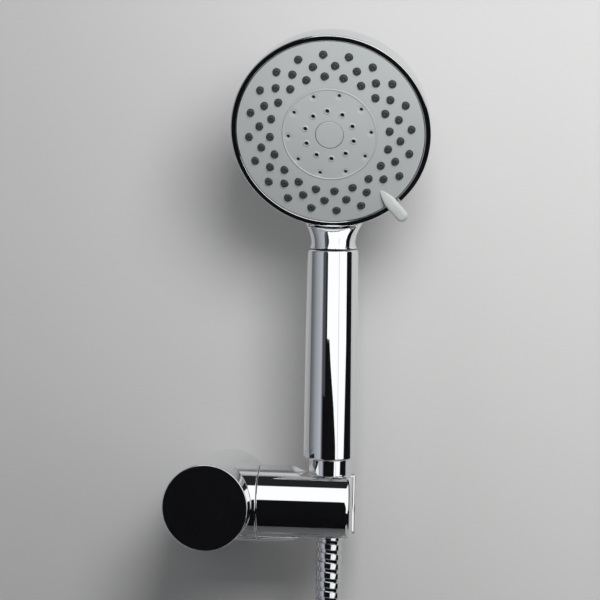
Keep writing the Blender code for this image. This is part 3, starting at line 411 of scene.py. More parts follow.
def new_group(name, inputs, outputs):
    group = bpy.data.node_groups.new(name, "ShaderNodeTree")
    for title, value in inputs.items():
        made = group.interface.new_socket(title, in_out="INPUT", socket_type="NodeSocketFloat")
        made.default_value = value
    for title in outputs:
        group.interface.new_socket(title, in_out="OUTPUT", socket_type="NodeSocketFloat")
    place = group.nodes.new("ShaderNodeTexCoord").outputs["Object"]
    return group, group.nodes.new("NodeGroupInput"), group.nodes.new("NodeGroupOutput"), place


def film_group():
    """Wiping streaks and the rings of dried drops: a mask from 0, clean, to 1, filmed."""
    group, start, end, place = new_group("wiped film", {"Streaks": 0.5, "Drops": 0.5}, ("Film",))
    stretch = group.nodes.new("ShaderNodeMapping")
    stretched = feed(group, stretch, {"Vector": place, "Scale": STREAK_STRETCH})["Vector"]
    streaks = noise(group, stretched, STREAK_SCALE, 4.0, 0.6)
    cells = feed(group, group.nodes.new("ShaderNodeTexVoronoi"), {"Vector": place, "Scale": DROP_SCALE})
    ring = math_node(group, "SUBTRACT", cells["Distance"], DROP_RING)
    ring = math_node(group, "ABSOLUTE", ring, 0.0)
    ring = math_node(group, "LESS_THAN", ring, DROP_LINE)
    few = math_node(group, "GREATER_THAN", noise(group, place, DROP_PATCHES), DROP_SHARE)
    drops = product(group, ring, few, start.outputs["Drops"])
    total = math_node(group, "ADD", product(group, streaks, start.outputs["Streaks"]), drops)
    group.links.new(total, end.inputs["Film"])
    return group


def grain_group():
    """The grain of a moulded surface: a height, and a mask of slow changes in the surface."""
    group, start, end, place = new_group(
        "mould grain", {"Scale": 2500.0, "Patches": 40.0}, ("Height", "Patch")
    )
    for title, detail, socket in (("Scale", 3.0, "Height"), ("Patches", 2.0, "Patch")):
        group.links.new(noise(group, place, start.outputs[title], detail), end.inputs[socket])
    return group


FILM, GRAIN = film_group(), grain_group()
print("groups:", FILM.name, "and", GRAIN.name)


# %% Metals and plastics
def new_material(name, colour, roughness, metallic=0.0):
    material = bpy.data.materials.new(name)
    material.use_nodes = True
    tree = material.node_tree
    shader = tree.nodes["Principled BSDF"]
    feed(tree, shader, {"Base Color": (*colour, 1.0), "Roughness": roughness, "Metallic": metallic})
    return material, tree, shader


def place_group(tree, group, **values):
    node = tree.nodes.new("ShaderNodeGroup")
    node.node_tree = group
    return feed(tree, node, values)


def metal(name, colour, low, high):
    """A metal whose roughness runs from low where it is clean to high where it is filmed."""
    material, tree, shader = new_material(name, colour, low, 1.0)
    film = place_group(tree, FILM, Streaks=0.6, Drops=0.5)["Film"]
    feed(tree, shader, {"Roughness": remap(tree, film, 0, 1, low, high)})
    return material


def plastic(name, colour, roughness, grain=2500.0, bump=0.05, tint=0.06):
    """A moulded surface: fine grain in its normal, and slow changes in its colour and gloss."""
    material, tree, shader = new_material(name, colour, roughness)
    grained = place_group(tree, GRAIN, Scale=grain)
    raise_surface(tree, shader, grained["Height"], bump, 0.0001)
    darker, lighter = ((*(min(1.0, c * k) for c in colour), 1.0) for k in (1 - tint, 1 + tint))
    mixed = mix_colours(tree, grained["Patch"], darker, lighter)
    gloss = remap(tree, grained["Patch"], 0, 1, roughness - 0.05, roughness + 0.05)
    feed(tree, shader, {"Base Color": mixed, "Roughness": gloss})
    return material


CHROME = metal("bright chrome", (0.80, 0.81, 0.82), 0.02, 0.07)
HOSE_CHROME = metal("hose chrome", (0.72, 0.73, 0.75), 0.06, 0.16)
STEEL = metal("turned steel", (0.56, 0.57, 0.58), 0.22, 0.4)
BRASS = metal("turned brass", (0.72, 0.55, 0.27), 0.2, 0.36)
FACE_GREY = plastic("satin grey plastic", (0.36, 0.378, 0.376), 0.42)
LEVER_GREY = plastic("light grey plastic", (0.43, 0.455, 0.445), 0.4)
WHITE = plastic("white plastic", (0.78, 0.78, 0.76), 0.45)
SILICONE = plastic("dark silicone", (0.03, 0.036, 0.036), 0.4, grain=4000.0)
RUBBER = plastic("black rubber", (0.02, 0.02, 0.02), 0.6, grain=1800.0, bump=0.12)
print(len(bpy.data.materials), "materials so far")

# %% [markdown]
# ## The hose
# A shower hose is a bright metal strip wound over a rubber tube, each turn hooked into the one before.
# It drops from the cone nut, and its spare length is folded up and down into a hank that two rubber
# bands hold. The folds are half circles, their radius three times the hose's thickness, and where the
# hose passes over the top it moves back by one layer.

# %% The hose's line
HOSE_RADIUS = 7.0
HOSE_LENGTH = 1500.0
HANK_DROP = 94.0
HANK_FOLD = 42.0
HANK_LAYER = 15.0
HANK_RUNS = 5
TAIL = 75.0
HANK_RUN = (HOSE_LENGTH - HANK_DROP - (HANK_RUNS - 1) * math.pi * HANK_FOLD - TAIL) / HANK_RUNS


def ease(share):
    """A smooth step: 3 t squared minus 2 t cubed, held at 0 and 1 outside."""
    share = np.clip(share, 0, 1)
    return share * share * (3 - 2 * share)


def hose_line(step=1.0):
    """Points a step apart along the hose, in millimetres from its exit: straight runs down and up at
    either side of the folds, and half circles between them."""
    fold = math.pi * HANK_FOLD
    ends = np.cumsum([HANK_DROP] + [HANK_RUN, fold] * (HANK_RUNS - 1) + [HANK_RUN, TAIL])
    along = np.linspace(0, ends[-1], round(ends[-1] / step) + 1)
    x, z, y = np.zeros_like(along), -along, np.zeros_like(along)
    upper, lower = -HANK_DROP, -HANK_DROP - HANK_RUN
    for k in range(HANK_RUNS):
        begin = ends[2 * k]
        run = along >= begin
        down = k % 2 == 0
        gone = along[run] - begin
        x[run] = 0.0 if down else -2 * HANK_FOLD
        z[run] = upper - gone if down else lower + gone
        if k == HANK_RUNS - 1:
            break
        bend = along >= begin + HANK_RUN
        angle = (along[bend] - begin - HANK_RUN) / HANK_FOLD
        x[bend] = -HANK_FOLD + HANK_FOLD * np.cos(angle) * (1 if down else -1)
        z[bend] = (lower if down else upper) + HANK_FOLD * np.sin(angle) * (-1 if down else 1)
        if not down:
            y += HANK_LAYER * ease((along - begin - HANK_RUN / 2) / (HANK_RUN / 2 + fold))
    return along, np.stack([x, y, z], axis=-1)


def across(line):
    """Two directions square to a line at each of its points, carried along it without twisting."""
    ahead = np.gradient(line, axis=0)
    ahead /= np.linalg.norm(ahead, axis=1, keepdims=True)
    side = np.cross(ahead, (0.0, 1.0, 0.0))
    side /= np.linalg.norm(side, axis=1, keepdims=True)
    return side, np.cross(side, ahead)


# %% [markdown]
# ### The strip's screw
# The strip is a groove wound round the hose's line. One turn of it takes a few rows of the grid, and
# each has its place within the pitch and its depth under the hose's surface: a flat crown, a sharp edge
# and the groove behind it.

# %% The hose's mesh
STRIP_PITCH = 5.2
STRIP_ROWS = np.array((0.02, 0.55, 0.575, 0.59, 0.62, 0.93, 0.955, 0.99))
STRIP_DEPTHS = np.array((0.0, 0.0, 0.08, 0.62, 0.68, 0.84, 0.95, 0.10))
HOSE_SIDES = 32


def make_hose():
    """r(q) = R - depth * groove(q) carried along the line as a screw: a point that is a share t of the
    way round lies t pitches further on, so the rows of the grid follow the strip."""
    per_turn, sides = len(STRIP_ROWS), HOSE_SIDES
    along, line = hose_line()
    row = np.arange(-per_turn, math.ceil(HOSE_LENGTH / STRIP_PITCH) * per_turn + 1)[:, None]
    share = np.arange(sides)[None] / sides
    turn = row // per_turn + STRIP_ROWS[row % per_turn]
    place = np.clip((turn + share) * STRIP_PITCH, 0, along[-1])
    radius = HOSE_RADIUS - STRIP_DEPTHS[row % per_turn] + 0 * share
    angle = 2 * math.pi * share + 0 * row

    def at(values):
        return np.stack([np.interp(place, along, values[:, k]) for k in range(3)], axis=-1)

    side, front = (at(values) for values in across(line))
    spokes = np.cos(angle)[..., None] * side + np.sin(angle)[..., None] * front
    points = (at(line) + radius[..., None] * spokes).reshape(-1, 3) * MM + HOSE_EXIT
    quads = grid_quads(len(row), sides, wrap_columns=False)
    r = np.arange(len(row) - 1 - per_turn)
    far = r + per_turn
    last = [r * sides + sides - 1, (r + 1) * sides + sides - 1, (far + 1) * sides, far * sides]
    quads = np.concatenate([quads, np.stack(last, axis=-1)])
    hose = welded(
        "shower_hose", points, quads, face_normals(points, quads), HOSE_CHROME, None,
        replaces=("hose", "hose_hank", "hose_tail"), slot="hose_chrome",
    )
    return hose, line * MM + HOSE_EXIT


HOSE, HOSE_PATH = make_hose()

# %% [markdown]
# ### What is on the hose
# Two rubber bands hold the hank. At the far end a crimped sleeve grips the hose, and a hexagon nut
# turns on its collar: it screws to the outlet in the wall.

# %% Bands, crimp, nut and washer
TIE_HEIGHT, TIE_WALL, TIE_GAP, TIE_SIDES = 12.0, 1.2, 0.3, 96
NUT_FLATS, NUT_CROWN, NUT_CROWN_SLOPE, NUT_EDGE = 12.0, 11.6, 1.9, 0.3
NUT_BORE, NUT_COLLAR, NUT_COLLAR_TOP = 8.5, 10.2, 10.6
HOSE_END = seat(HOSE_PATH[-1], (0, 0, 1))


def make_tie(name, node, x, layers):
    """A band round a row of runs: a rounded rectangle, half circles at its ends, carried up and down."""
    half_depth = (layers - 1) * HANK_LAYER / 2
    inner, half = HOSE_RADIUS + TIE_GAP, TIE_HEIGHT / 2
    outer = inner + TIE_WALL
    outline = profile(
        (outer, half, 0.4), (outer, -half, 0.4), (inner, -half, 0.2), (inner, half, 0.2), closed=True
    )
    angle = circle(TIE_SIDES)
    points, normals = turn_points(*outline, angle)
    points = points.reshape(-1, TIE_SIDES, 3)
    points[..., 1] += half_depth * np.sign(np.round(np.sin(angle), 9))
    middle = np.array((x, half_depth, -HANK_DROP - HANK_RUN / 2))
    quads = grid_quads(len(points), TIE_SIDES, wrap_rows=True)
    points = (points.reshape(-1, 3) + middle) * MM + HOSE_EXIT
    return piece(name, points, quads, normals, RUBBER, "hose_hang", replaces=(node,), slot="rubber")


def make_crimp():
    """A sleeve with two rolled grooves, and the collar that the nut turns on."""
    return turned(
        "crimped_sleeve",
        profile(
            (4.4, -0.3, 0), (8.2, -0.3, 0.6), (8.2, -2.6, 0.3), (7.7, -3.0, 0.3), (8.2, -3.4, 0.3),
            (8.2, -5.6, 0.3), (7.7, -6.0, 0.3), (8.2, -6.4, 0.3), (8.2, -12.2, 0.2), (9.4, -12.4, 0.2),
            (9.4, -14.3, 0.3), (4.4, -14.3, 0.2), closed=True,
        ),
        HOSE_END, CHROME, "hose_hang", closed=True, replaces=("hose_end_crimp",), slot="chromed_brass",
    )


def make_nut():
    """A hexagon whose corners are turned off, with a bore that widens over the collar."""
    low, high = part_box("hose_end_nut")
    middle, top, bottom = HOSE_END[0] / MM, high[2] / MM, low[2] / MM

    def nut_distance(p):
        x, y, z = p[..., 0] - middle[0], p[..., 1] - middle[1], p[..., 2]
        angle = np.radians([30, 90, 150])
        across_flats = np.abs(x[..., None] * np.cos(angle) + y[..., None] * np.sin(angle))
        out, ends = np.hypot(x, y), np.maximum(z - top, bottom - z)
        corner = (out + NUT_CROWN_SLOPE * ends - NUT_CROWN) / math.hypot(1, NUT_CROWN_SLOPE)
        solid = round_cut(np.max(across_flats, axis=-1) - NUT_FLATS, ends, NUT_EDGE)
        solid = round_cut(solid, corner, NUT_EDGE)
        collar = np.maximum(out - NUT_COLLAR, z - (bottom + NUT_COLLAR_TOP))
        return round_cut(solid, -np.minimum(out - NUT_BORE, collar), NUT_EDGE)

    return carved(
        "outlet_nut", nut_distance, (middle[0] - 15, middle[1] - 15, bottom - 1),
        (middle[0] + 15, middle[1] + 15, top + 1), 0.45, CHROME, "wall_end_nut",
        replaces=("hose_end_nut",), slot="chromed_brass",
    )


TIES = [
    make_tie("hank_band_left", "hank_tie_left", -2 * HANK_FOLD, 2),
    make_tie("hank_band_right", "hank_tie_right", 0.0, 3),
]
HOSE_ENDS = (make_crimp(), make_nut(), frame["nodes"]["hose_end_washer"])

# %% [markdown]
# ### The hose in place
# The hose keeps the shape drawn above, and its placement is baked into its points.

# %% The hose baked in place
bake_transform(HOSE)
print("the hose is", HOSE_LENGTH, "mm long")

# %% [markdown]
# ## The wall bracket
# The bracket is a closed tube that stands out from the wall, with a short stub on its side. The corner
# between them is filled by a fillet: the path of a ball rolled along both. Its centre keeps the ball's
# radius from each surface, and the arc between the two points where it touches is the fillet.

# %% Tube and stub
TUBE_RADIUS, TUBE_LENGTH, TUBE_BORE, TUBE_FRONT = 23.2, 96.0, 20.4, 3.0
ARM_RADIUS, ARM_DEPTH = 21.0, 62.4
SEAM, STUB_FILLET, STUB_SIDES = 25.6, 0.4, 256


def make_tube():
    inside = TUBE_LENGTH - TUBE_FRONT
    return turned(
        "wall_tube",
        profile(
            (0, TUBE_LENGTH, 0), (TUBE_RADIUS, TUBE_LENGTH, 0.55), (TUBE_RADIUS, 0.05, 0.3),
            (TUBE_BORE, 0.05, 0.3), (TUBE_BORE, inside, 0.5), (0, inside, 0),
        ),
        WALL, CHROME, "bracket", turns=256, replaces=("bracket_body",), slot="chromed_brass",
    )


def make_stub():
    """Rows run from the tube's surface along the fillet's arc, then along the stub to the seam."""
    angle = circle(STUB_SIDES)
    c, s, level = np.cos(angle), np.sin(angle), 0 * angle
    tube, stub = TUBE_RADIUS + STUB_FILLET, ARM_RADIUS + STUB_FILLET
    ball = np.stack([np.sqrt(tube**2 - (stub * s) ** 2), stub * c, stub * s], axis=-1)
    to_tube = -ball * (1, 0, 1) / tube
    to_stub = -np.stack([level, c, s], axis=-1)
    between = np.arccos(np.clip((to_tube * to_stub).sum(axis=-1, keepdims=True), -1, 1))
    rows, normals = [], []
    for share in np.linspace(0, 1, 9):
        reach = np.sin((1 - share) * between) * to_tube + np.sin(share * between) * to_stub
        reach = reach / np.sin(between)
        rows.append(ball + STUB_FILLET * reach)
        normals.append(-reach)
    outline, outline_normals = profile(
        (ARM_RADIUS, 15, 0), (ARM_RADIUS, SEAM, 0.7), (6.0, SEAM, 0.2), (6.0, 12.0, 0)
    )
    for (radius, x), (out, rise) in zip(outline[1:], outline_normals[1:]):
        rows.append(np.stack([x + level, radius * c, radius * s], axis=-1))
        normals.append(-np.stack([rise + level, out * c, out * s], axis=-1))
    points, normals = np.stack(rows), np.stack(normals).reshape(-1, 3)
    points[..., 1] -= ARM_DEPTH
    quads = grid_quads(len(points), STUB_SIDES)[:, ::-1]
    points = points.reshape(-1, 3) * MM
    return piece("bracket_stub", points, quads, normals, CHROME, "bracket", slot="chromed_brass")


make_tube()
make_stub()

# %% [markdown]
# ## The holder arm
# The arm is a round bar that turns on the tube's stub, with two flats milled across its free end. A
# tapered socket runs down through the flats, open at the end by a slot that lets the hose in. The flats'
# ends are sloped, as the milling cutter leaves them, and both mouths of the socket are widened.

# %% Holder arm
ARM_START, ARM_END, ARM_START_ROUND, ARM_END_ROUND = 25.85, 76.9, 0.25, 3.0
SOCKET_X = HANDLE[0][0] / MM
FLAT_HEIGHT, FLAT_RADIUS, FLAT_SLOPE, FLAT_CORNER, FLAT_ROUND = 16.5, 19.3, 0.62, 0.8, 0.35
SLOT_HALF, SLOT_CORNER = 7.5, 0.8
SOCKET_TOP, SOCKET_BOTTOM, SOCKET_LENGTH = 11.8, 9.8, 34.4
TOP_CHAMFER, BOTTOM_CHAMFER = 0.1, 2.2
EDGE, EDGE_BELOW, EDGE_SLOT = 0.3, 0.4, 1.4


def arm_distance(p):
    """The bar, less its two flats, less the socket with its mouths and its slot. The edge of that
    opening is sharpest on top, softer below, and softest at the slot's outer end."""
    x, y, z = p[..., 0], p[..., 1] + ARM_DEPTH, p[..., 2]
    bar = round_cut(np.hypot(y, z) - ARM_RADIUS, x - ARM_END, ARM_END_ROUND)
    bar = round_cut(bar, ARM_START - x, ARM_START_ROUND)
    out = np.hypot(x - SOCKET_X, y)
    for height in (z, -z):
        above = FLAT_HEIGHT - height
        cone = (out - FLAT_RADIUS + FLAT_SLOPE * above) / math.hypot(1, FLAT_SLOPE)
        flat = round_cut(above, np.minimum(cone, SOCKET_X - x), FLAT_CORNER)
        bar = round_cut(bar, -flat, FLAT_ROUND)
    right, back, height = on_seat(p, HANDLE)
    taper = (SOCKET_TOP - SOCKET_BOTTOM) / SOCKET_LENGTH
    bore = np.hypot(right, back) - (SOCKET_BOTTOM + taper * (height + SOCKET_LENGTH / 2))
    lip = FLAT_HEIGHT - np.where(height > 0, TOP_CHAMFER, BOTTOM_CHAMFER)
    mouths = (bore - (np.abs(height) - lip)) / math.sqrt(2)
    slot = np.maximum(np.abs(y) - SLOT_HALF, SOCKET_X - x)
    opening = np.minimum(round_join(bore, slot, SLOT_CORNER), mouths)
    edge = EDGE + EDGE_BELOW * ease(-z / 5) + EDGE_SLOT * ease((x - SOCKET_X - 8) / 2)
    return round_cut(bar, -opening, edge)


carved(
    "turning_arm", arm_distance, (ARM_START - 1, -ARM_DEPTH - 22, -22),
    (ARM_END + 1, -ARM_DEPTH + 22, 22), 0.42, CHROME, "holder",
    replaces=("holder_arm",), slot="chromed_brass",
)

# %% [markdown]
# ## Cone nut and handle
# Both are turned. The nut's long cone sits in the socket, and its plain top goes up inside the
# handle's lower edge. The handle is a drawn sleeve that narrows a little towards the head.

# %% Cone nut and handle sleeve
NUT_RADIUS, NUT_SMALL, NUT_BOTTOM, NUT_SHOULDER, NUT_TOP = 11.5, 9.5, -16.9, 17.5, 26.1
HANDLE_BASE, HANDLE_TOP, HANDLE_BASE_RADIUS, HANDLE_TOP_RADIUS = 26.4, 139.6, 14.7, 13.8
HANDLE_RECESS = HANDLE_BASE + 0.6

turned(
    "hose_cone_nut",
    profile(
        (10.2, NUT_TOP, 0.2), (NUT_RADIUS, NUT_TOP, 0.5), (NUT_RADIUS, NUT_SHOULDER, 3.0),
        (NUT_SMALL, NUT_BOTTOM, 0.7), (7.5, NUT_BOTTOM, 0.4), (7.5, 6.4, 0.2), (9.8, 6.4, 0.2),
        (9.8, 12.4, 0.2), (10.2, 12.8, 0.2), closed=True,
    ),
    HANDLE, CHROME, "handset", closed=True, replaces=("cone_nut",), slot="chromed_brass",
)
turned(
    "drawn_handle",
    profile(
        (12.4, HANDLE_TOP, 0.1), (HANDLE_TOP_RADIUS, HANDLE_TOP, 1.2),
        (HANDLE_BASE_RADIUS, HANDLE_BASE, 0.9), (11.9, HANDLE_BASE, 0.2), (11.9, HANDLE_RECESS, 0.1),
        (13.3, HANDLE_RECESS, 0.1), closed=True,
    ),
    HANDLE, CHROME, "handset", turns=256, closed=True, replaces=("handle_sleeve",), slot="chromed_brass",
)

# %% [markdown]
# ## The head
# The back of the head is a shallow bowl, drawn with a squarish curve so that its side stays upright
# before it rounds over. The neck grows out of it like the foot of a glass: round at the handle, and
# wider and pulled back as it rises under the rim. Bowl and neck are two distances, joined softly. The
# table of the neck gives its height, half its width, its front and its back.

# %% Head shell and neck
HEAD_RADIUS, HEAD_DEPTH, HEAD_SQUARENESS, HEAD_WALL = 52.9, 30.0, 4.3, 2.2
SHELL_FRONT, SHELL_BOTTOM, SHELL_EDGE, NECK_EDGE = -2.5, 139.0, 0.3, 0.25
BEZEL_ROOM, MOUTH_ROOM = 0.9, 0.3
NECK_END, NECK_JOIN = 0.8, 2.0
SHOULDER, SHOULDER_BACK = 151.5, -2.7
NECK = np.array(
    [
        (139.9, 13.4, -13.4, 13.4), (141.0, 12.7, -12.7, 12.6), (142.5, 12.2, -12.2, 12.2),
        (146.0, 12.5, -11.5, 12.5), (148.0, 13.05, -10.9, 12.8), (149.2, 13.55, -10.35, 13.0),
        (150.4, 14.05, -9.6, 13.15), (152.0, 14.8, -8.45, 13.4), (155.0, 16.5, -6.0, 13.8),
        (158.0, 18.0, -3.0, 14.0), (166.0, 21.0, 4.0, 13.6),
    ]
)


def smooth_rows(table, step=0.1):
    """Rows between the given ones: a cubic between each two, with the slopes of the whole table."""
    at = np.arange(table[0, 0], table[-1, 0], step)
    slopes = np.gradient(table, table[:, 0], axis=0)
    k = np.clip(np.searchsorted(table[:, 0], at, side="right") - 1, 0, len(table) - 2)
    wide = (table[k + 1, 0] - table[k, 0])[:, None]
    t = (at - table[k, 0])[:, None] / wide
    return (
        (1 + 2 * t) * (1 - t) ** 2 * table[k] + t * (1 - t) ** 2 * wide * slopes[k]
        + t**2 * (3 - 2 * t) * table[k + 1] + t**2 * (t - 1) * wide * slopes[k + 1]
    )


NECK_ROWS = smooth_rows(NECK)


def bowl_distance(radius, depth, inset):
    """A squarish bowl: (r/R)^n + (d/D)^n = 1, its excess turned into a distance by its own slope."""
    power, wide, deep = HEAD_SQUARENESS, HEAD_RADIUS - inset, HEAD_DEPTH - inset
    r, d = radius / wide, np.maximum(depth, 0) / deep
    size = np.maximum(r**power + d**power, 1e-9) ** (1 / power)
    steep = np.hypot((r / size) ** (power - 1) / wide, (d / size) ** (power - 1) / deep)
    return (size - 1) / np.maximum(steep, 1e-6)


def neck_distance(x, y, height):
    """An oval at each height, with its width, its front and its back from the table."""
    half, front, back = (np.interp(height, NECK_ROWS[:, 0], NECK_ROWS[:, k]) for k in (1, 2, 3))
    middle, depth = (front + back) / 2, (back - front) / 2
    ring = (np.hypot(x / half, (y - middle) / depth) - 1) * np.minimum(half, depth)
    return round_cut(ring, np.maximum(NECK[0, 0] - height, height - NECK[-1, 0]), NECK_END)


def head_distance(p):
    """The bowl and the neck, less the bezel's room and the hollow. A step cuts the neck's front away
    above its shoulder before the two are joined."""
    x, up, out = on_seat(p, FACE)
    radius, front = np.hypot(x, up), SHELL_FRONT - out
    outer = round_cut(bowl_distance(radius, -out, 0.0), -front, SHELL_EDGE)
    right, back, height = on_seat(p, HANDLE)
    step = np.minimum(height - SHOULDER, SHOULDER_BACK - back)
    neck = round_cut(neck_distance(right, back, height), step, NECK_EDGE)
    room = np.maximum(front, radius - HEAD_RADIUS - BEZEL_ROOM)
    solid = round_cut(round_join(outer, neck, NECK_JOIN), -room, NECK_EDGE)
    mouth = np.maximum(radius - HEAD_RADIUS - MOUTH_ROOM, front)
    return round_cut(solid, -np.minimum(bowl_distance(radius, -out, HEAD_WALL), mouth), SHELL_EDGE)


LOW, HIGH = (np.array(corner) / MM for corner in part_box("head_shell"))
carved(
    "shower_head", head_distance, (LOW[0] - 2, LOW[1] - 2, SHELL_BOTTOM), HIGH + 2, 0.7, CHROME,
    "handset", replaces=("head_shell",), slot="chromed_plastic",
)

# %% [markdown]
# ## The spray face
# The face is a shallow dome inside a bright bezel. Its outer part is one plate with three rings of
# rubber nozzles, each ring turned against the next. The middle is a disc of its own, with two rings of
# fine jets and a small cap.

# %% Dome and bezel
RIM, DOME = 52.5, 4.88
BEZEL_RADIUS, BEZEL_WIDTH, BEZEL_BACK, BEZEL_FRONT = 53.3, 2.3, -2.2, 0.5
INSERT_RADIUS, CAP_RADIUS = 25.4, 7.4
PLATE_LIP, PLATE_DEPTH, PLATE_GAP = 0.08, 1.4, 0.02
LEVER_ANGLE, LEVER_HALF = 140.0, 3.3
NOTCH = (3.4, 4.2)


def dome(radius):
    """Height of the face above its rim plane: DOME * (1 - (r/R) squared)."""
    return DOME * (1 - (radius / RIM) ** 2)


def dome_profile(inner, outer, rows):
    """The dome between two radii, running outwards, with its edges rounded down by a lip."""
    radius = np.linspace(inner + PLATE_LIP, outer - PLATE_LIP, rows)
    tilt = 2 * DOME * radius / RIM**2
    normal = np.stack([tilt, np.ones_like(tilt)], axis=-1) / np.hypot(1, tilt)[:, None]
    points = np.stack([radius, dome(radius)], axis=-1)
    turn = np.linspace(0, math.pi / 2, 6)[1:]
    outward = np.stack([np.sin(turn), np.cos(turn)], axis=-1)
    inward = outward[::-1] * (-1, 1)
    outer_edge = points[-1] + PLATE_LIP * (outward - (0, 1))
    inner_edge = points[0] + PLATE_LIP * (inward - (0, 1))
    first, last = [[inner, inner_edge[0, 1] - PLATE_DEPTH]], [[outer, outer_edge[-1, 1] - PLATE_DEPTH]]
    return (
        np.concatenate([first, inner_edge, points, outer_edge, last]),
        np.concatenate([[[-1, 0]], inward, normal, outward, [[1, 0]]]),
    )


def make_bezel():
    """A flat-fronted bead, turned from one side of the lever's notch to the other, with closed ends."""
    inner = RIM - BEZEL_WIDTH
    outline = profile(
        (BEZEL_RADIUS, BEZEL_BACK, 0.2), (inner, BEZEL_BACK, 0.2), (inner, BEZEL_FRONT, 0.6),
        (BEZEL_RADIUS, BEZEL_FRONT, 0.65), closed=True,
    )
    turns, rows = 361, len(outline[0])
    middle = math.radians(90 - LEVER_ANGLE)
    left, right = (math.asin(gap / RIM) for gap in NOTCH)
    ends = (middle + left, middle + 2 * math.pi - right)
    points, normals = turn_points(*outline, np.linspace(*ends, turns))
    quads = grid_quads(rows, turns, wrap_rows=True, wrap_columns=False)
    grid = points.reshape(rows, turns, 3)
    points = np.concatenate([points, grid[:, 0], grid[:, -1]])
    facing = [(math.sin(a), -math.cos(a), 0.0) for a in ends] * np.array([[1], [-1]])
    normals = np.concatenate([normals, np.repeat(facing, rows, axis=0)])
    fan = np.arange(rows - 2)[:, None] * (0, 1, 1) + (0, 1, 2) + rows * turns
    return piece(
        "bright_bezel", placed(points, FACE), quads, normals @ FACE[1], CHROME, "spray_face",
        np.concatenate([fan, fan[:, ::-1] + rows]), replaces=("bezel_ring",), slot="chromed_brass",
    )


make_bezel()

# %% [markdown]
# ### Nozzles
# One nozzle is a small turned shape: a sloping wall, a rounded lip and a hole down its middle. Its rows
# of points are set down at every place by one sum of two arrays.

# %% Nozzles
NOZZLE_RINGS = ((0.820, -3.57), (0.711, 5.43), (0.603, -3.57))
NOZZLES_PER_RING, JETS_PER_RING = 20, 10
NOZZLE_RADIUS, NOZZLE_RISE, NOZZLE_SIDES = 2.2, 1.3, 20
LEVER_START = 38.8


def clockwise(radius, degrees):
    """A point of the face, its angle counted clockwise from the top as seen from in front."""
    turn = np.radians(degrees)
    return np.stack([radius * np.sin(turn), radius * np.cos(turn)], axis=-1)


def ring_places(share, first, count):
    """Places evenly round a ring, from its share of the rim's radius and its first angle."""
    return clockwise(share * RIM, first + np.arange(count) * 360 / count)


def nozzle_places():
    """Every ring's nozzles, without the ones that the lever covers."""
    places = np.concatenate([ring_places(*ring, NOZZLES_PER_RING) for ring in NOZZLE_RINGS])
    along = clockwise(1.0, LEVER_ANGLE)
    aside = np.abs(places @ np.array((along[1], -along[0])))
    return places[~((places @ along > LEVER_START) & (aside < LEVER_HALF + NOZZLE_RADIUS))]


def make_nozzles():
    outline = profile(
        (0, -0.4, 0), (0.5, -0.4, 0.05), (0.6, NOZZLE_RISE, 0.15), (1.62, NOZZLE_RISE, 0.55),
        (1.95, 0.2, 0.15), (2.3, 0.12, 0.1), (2.35, -0.6, 0),
    )
    places = nozzle_places()
    points, normals = turn_points(*outline, circle(NOZZLE_SIDES))
    height = dome(np.hypot(places[:, 0], places[:, 1]))
    spots = np.concatenate([places, height[:, None]], axis=1)
    many = (points[None] + spots[:, None]).reshape(-1, 3)
    first = np.arange(len(places))[:, None, None] * len(points)
    quads = (grid_quads(len(outline[0]), NOZZLE_SIDES)[None] + first).reshape(-1, 4)
    print(len(places), "nozzles")
    return welded(
        "rubber_nozzles", placed(many, FACE), quads, np.tile(normals, (len(places), 1)) @ FACE[1],
        SILICONE, "spray_face", replaces=("nozzle_mat",), slot="silicone",
    )


# %% [markdown]
# ### Plate, middle disc and cap
# Each jet of the disc has its ring, its hole and its land: a low boss or a shallow dish round the hole.
# The table gives the ring's share of the rim's radius, its first angle, the radii of hole and land, and
# how far the land rises. The disc carries a mask of its holes, and the holes are coloured near black
# as painted shade.

# %% Face plate, middle disc and cap
JET_RINGS = ((0.420, 14.46, 0.56, 2.2, -0.15), (0.251, -3.60, 0.74, 1.9, 0.35))
JET_DEPTH, JET_RIM, JET_EDGE, LAND_EDGE = 1.2, 0.42, 0.3, 0.6
RIDGE, RIDGE_HALF, RIDGE_INSET = 0.34, 0.32, 0.55
# Painted shade: a near black colour for the jet holes, standing in for the dark inside them.
PAINTED_HOLE_SHADE = (0.004, 0.004, 0.004, 1.0)


def jet_height(points):
    """How the middle disc's surface moves: up on a boss or down in a dish round each jet, down in its
    hole, and up in a fine ridge at the rim. The second value is 1 in the holes."""
    radius = np.hypot(points[..., 0], points[..., 1])
    move = RIDGE * np.exp(-(((radius - INSERT_RADIUS + RIDGE_INSET) / RIDGE_HALF) ** 2))
    holes = np.zeros(points.shape[:-1])
    for share, first, hole, land, rise in JET_RINGS:
        places = ring_places(share, first, JETS_PER_RING)
        near = np.min(np.linalg.norm(points[..., None, :] - places, axis=-1), axis=-1)
        inside = ease((hole + JET_RIM - near) / JET_EDGE)
        move += rise * ease((land - near) / LAND_EDGE) - JET_DEPTH * inside
        holes += inside
    return move, holes


def jet_material():
    """The face's plastic with painted shade: black where the mesh's own hole mask is 1."""
    material = FACE_GREY.copy()
    material.name = "grey plastic with painted hole shade"
    tree = material.node_tree
    colour = tree.nodes["Principled BSDF"].inputs["Base Color"]
    mask = tree.nodes.new("ShaderNodeAttribute")
    mask.attribute_name = "hole"
    # Painted shade: the hole mask turns the plastic's colour near black in the holes.
    mixed = mix_colours(tree, mask.outputs["Fac"], colour.links[0].from_socket, PAINTED_HOLE_SHADE)
    tree.links.new(mixed, colour)
    return material


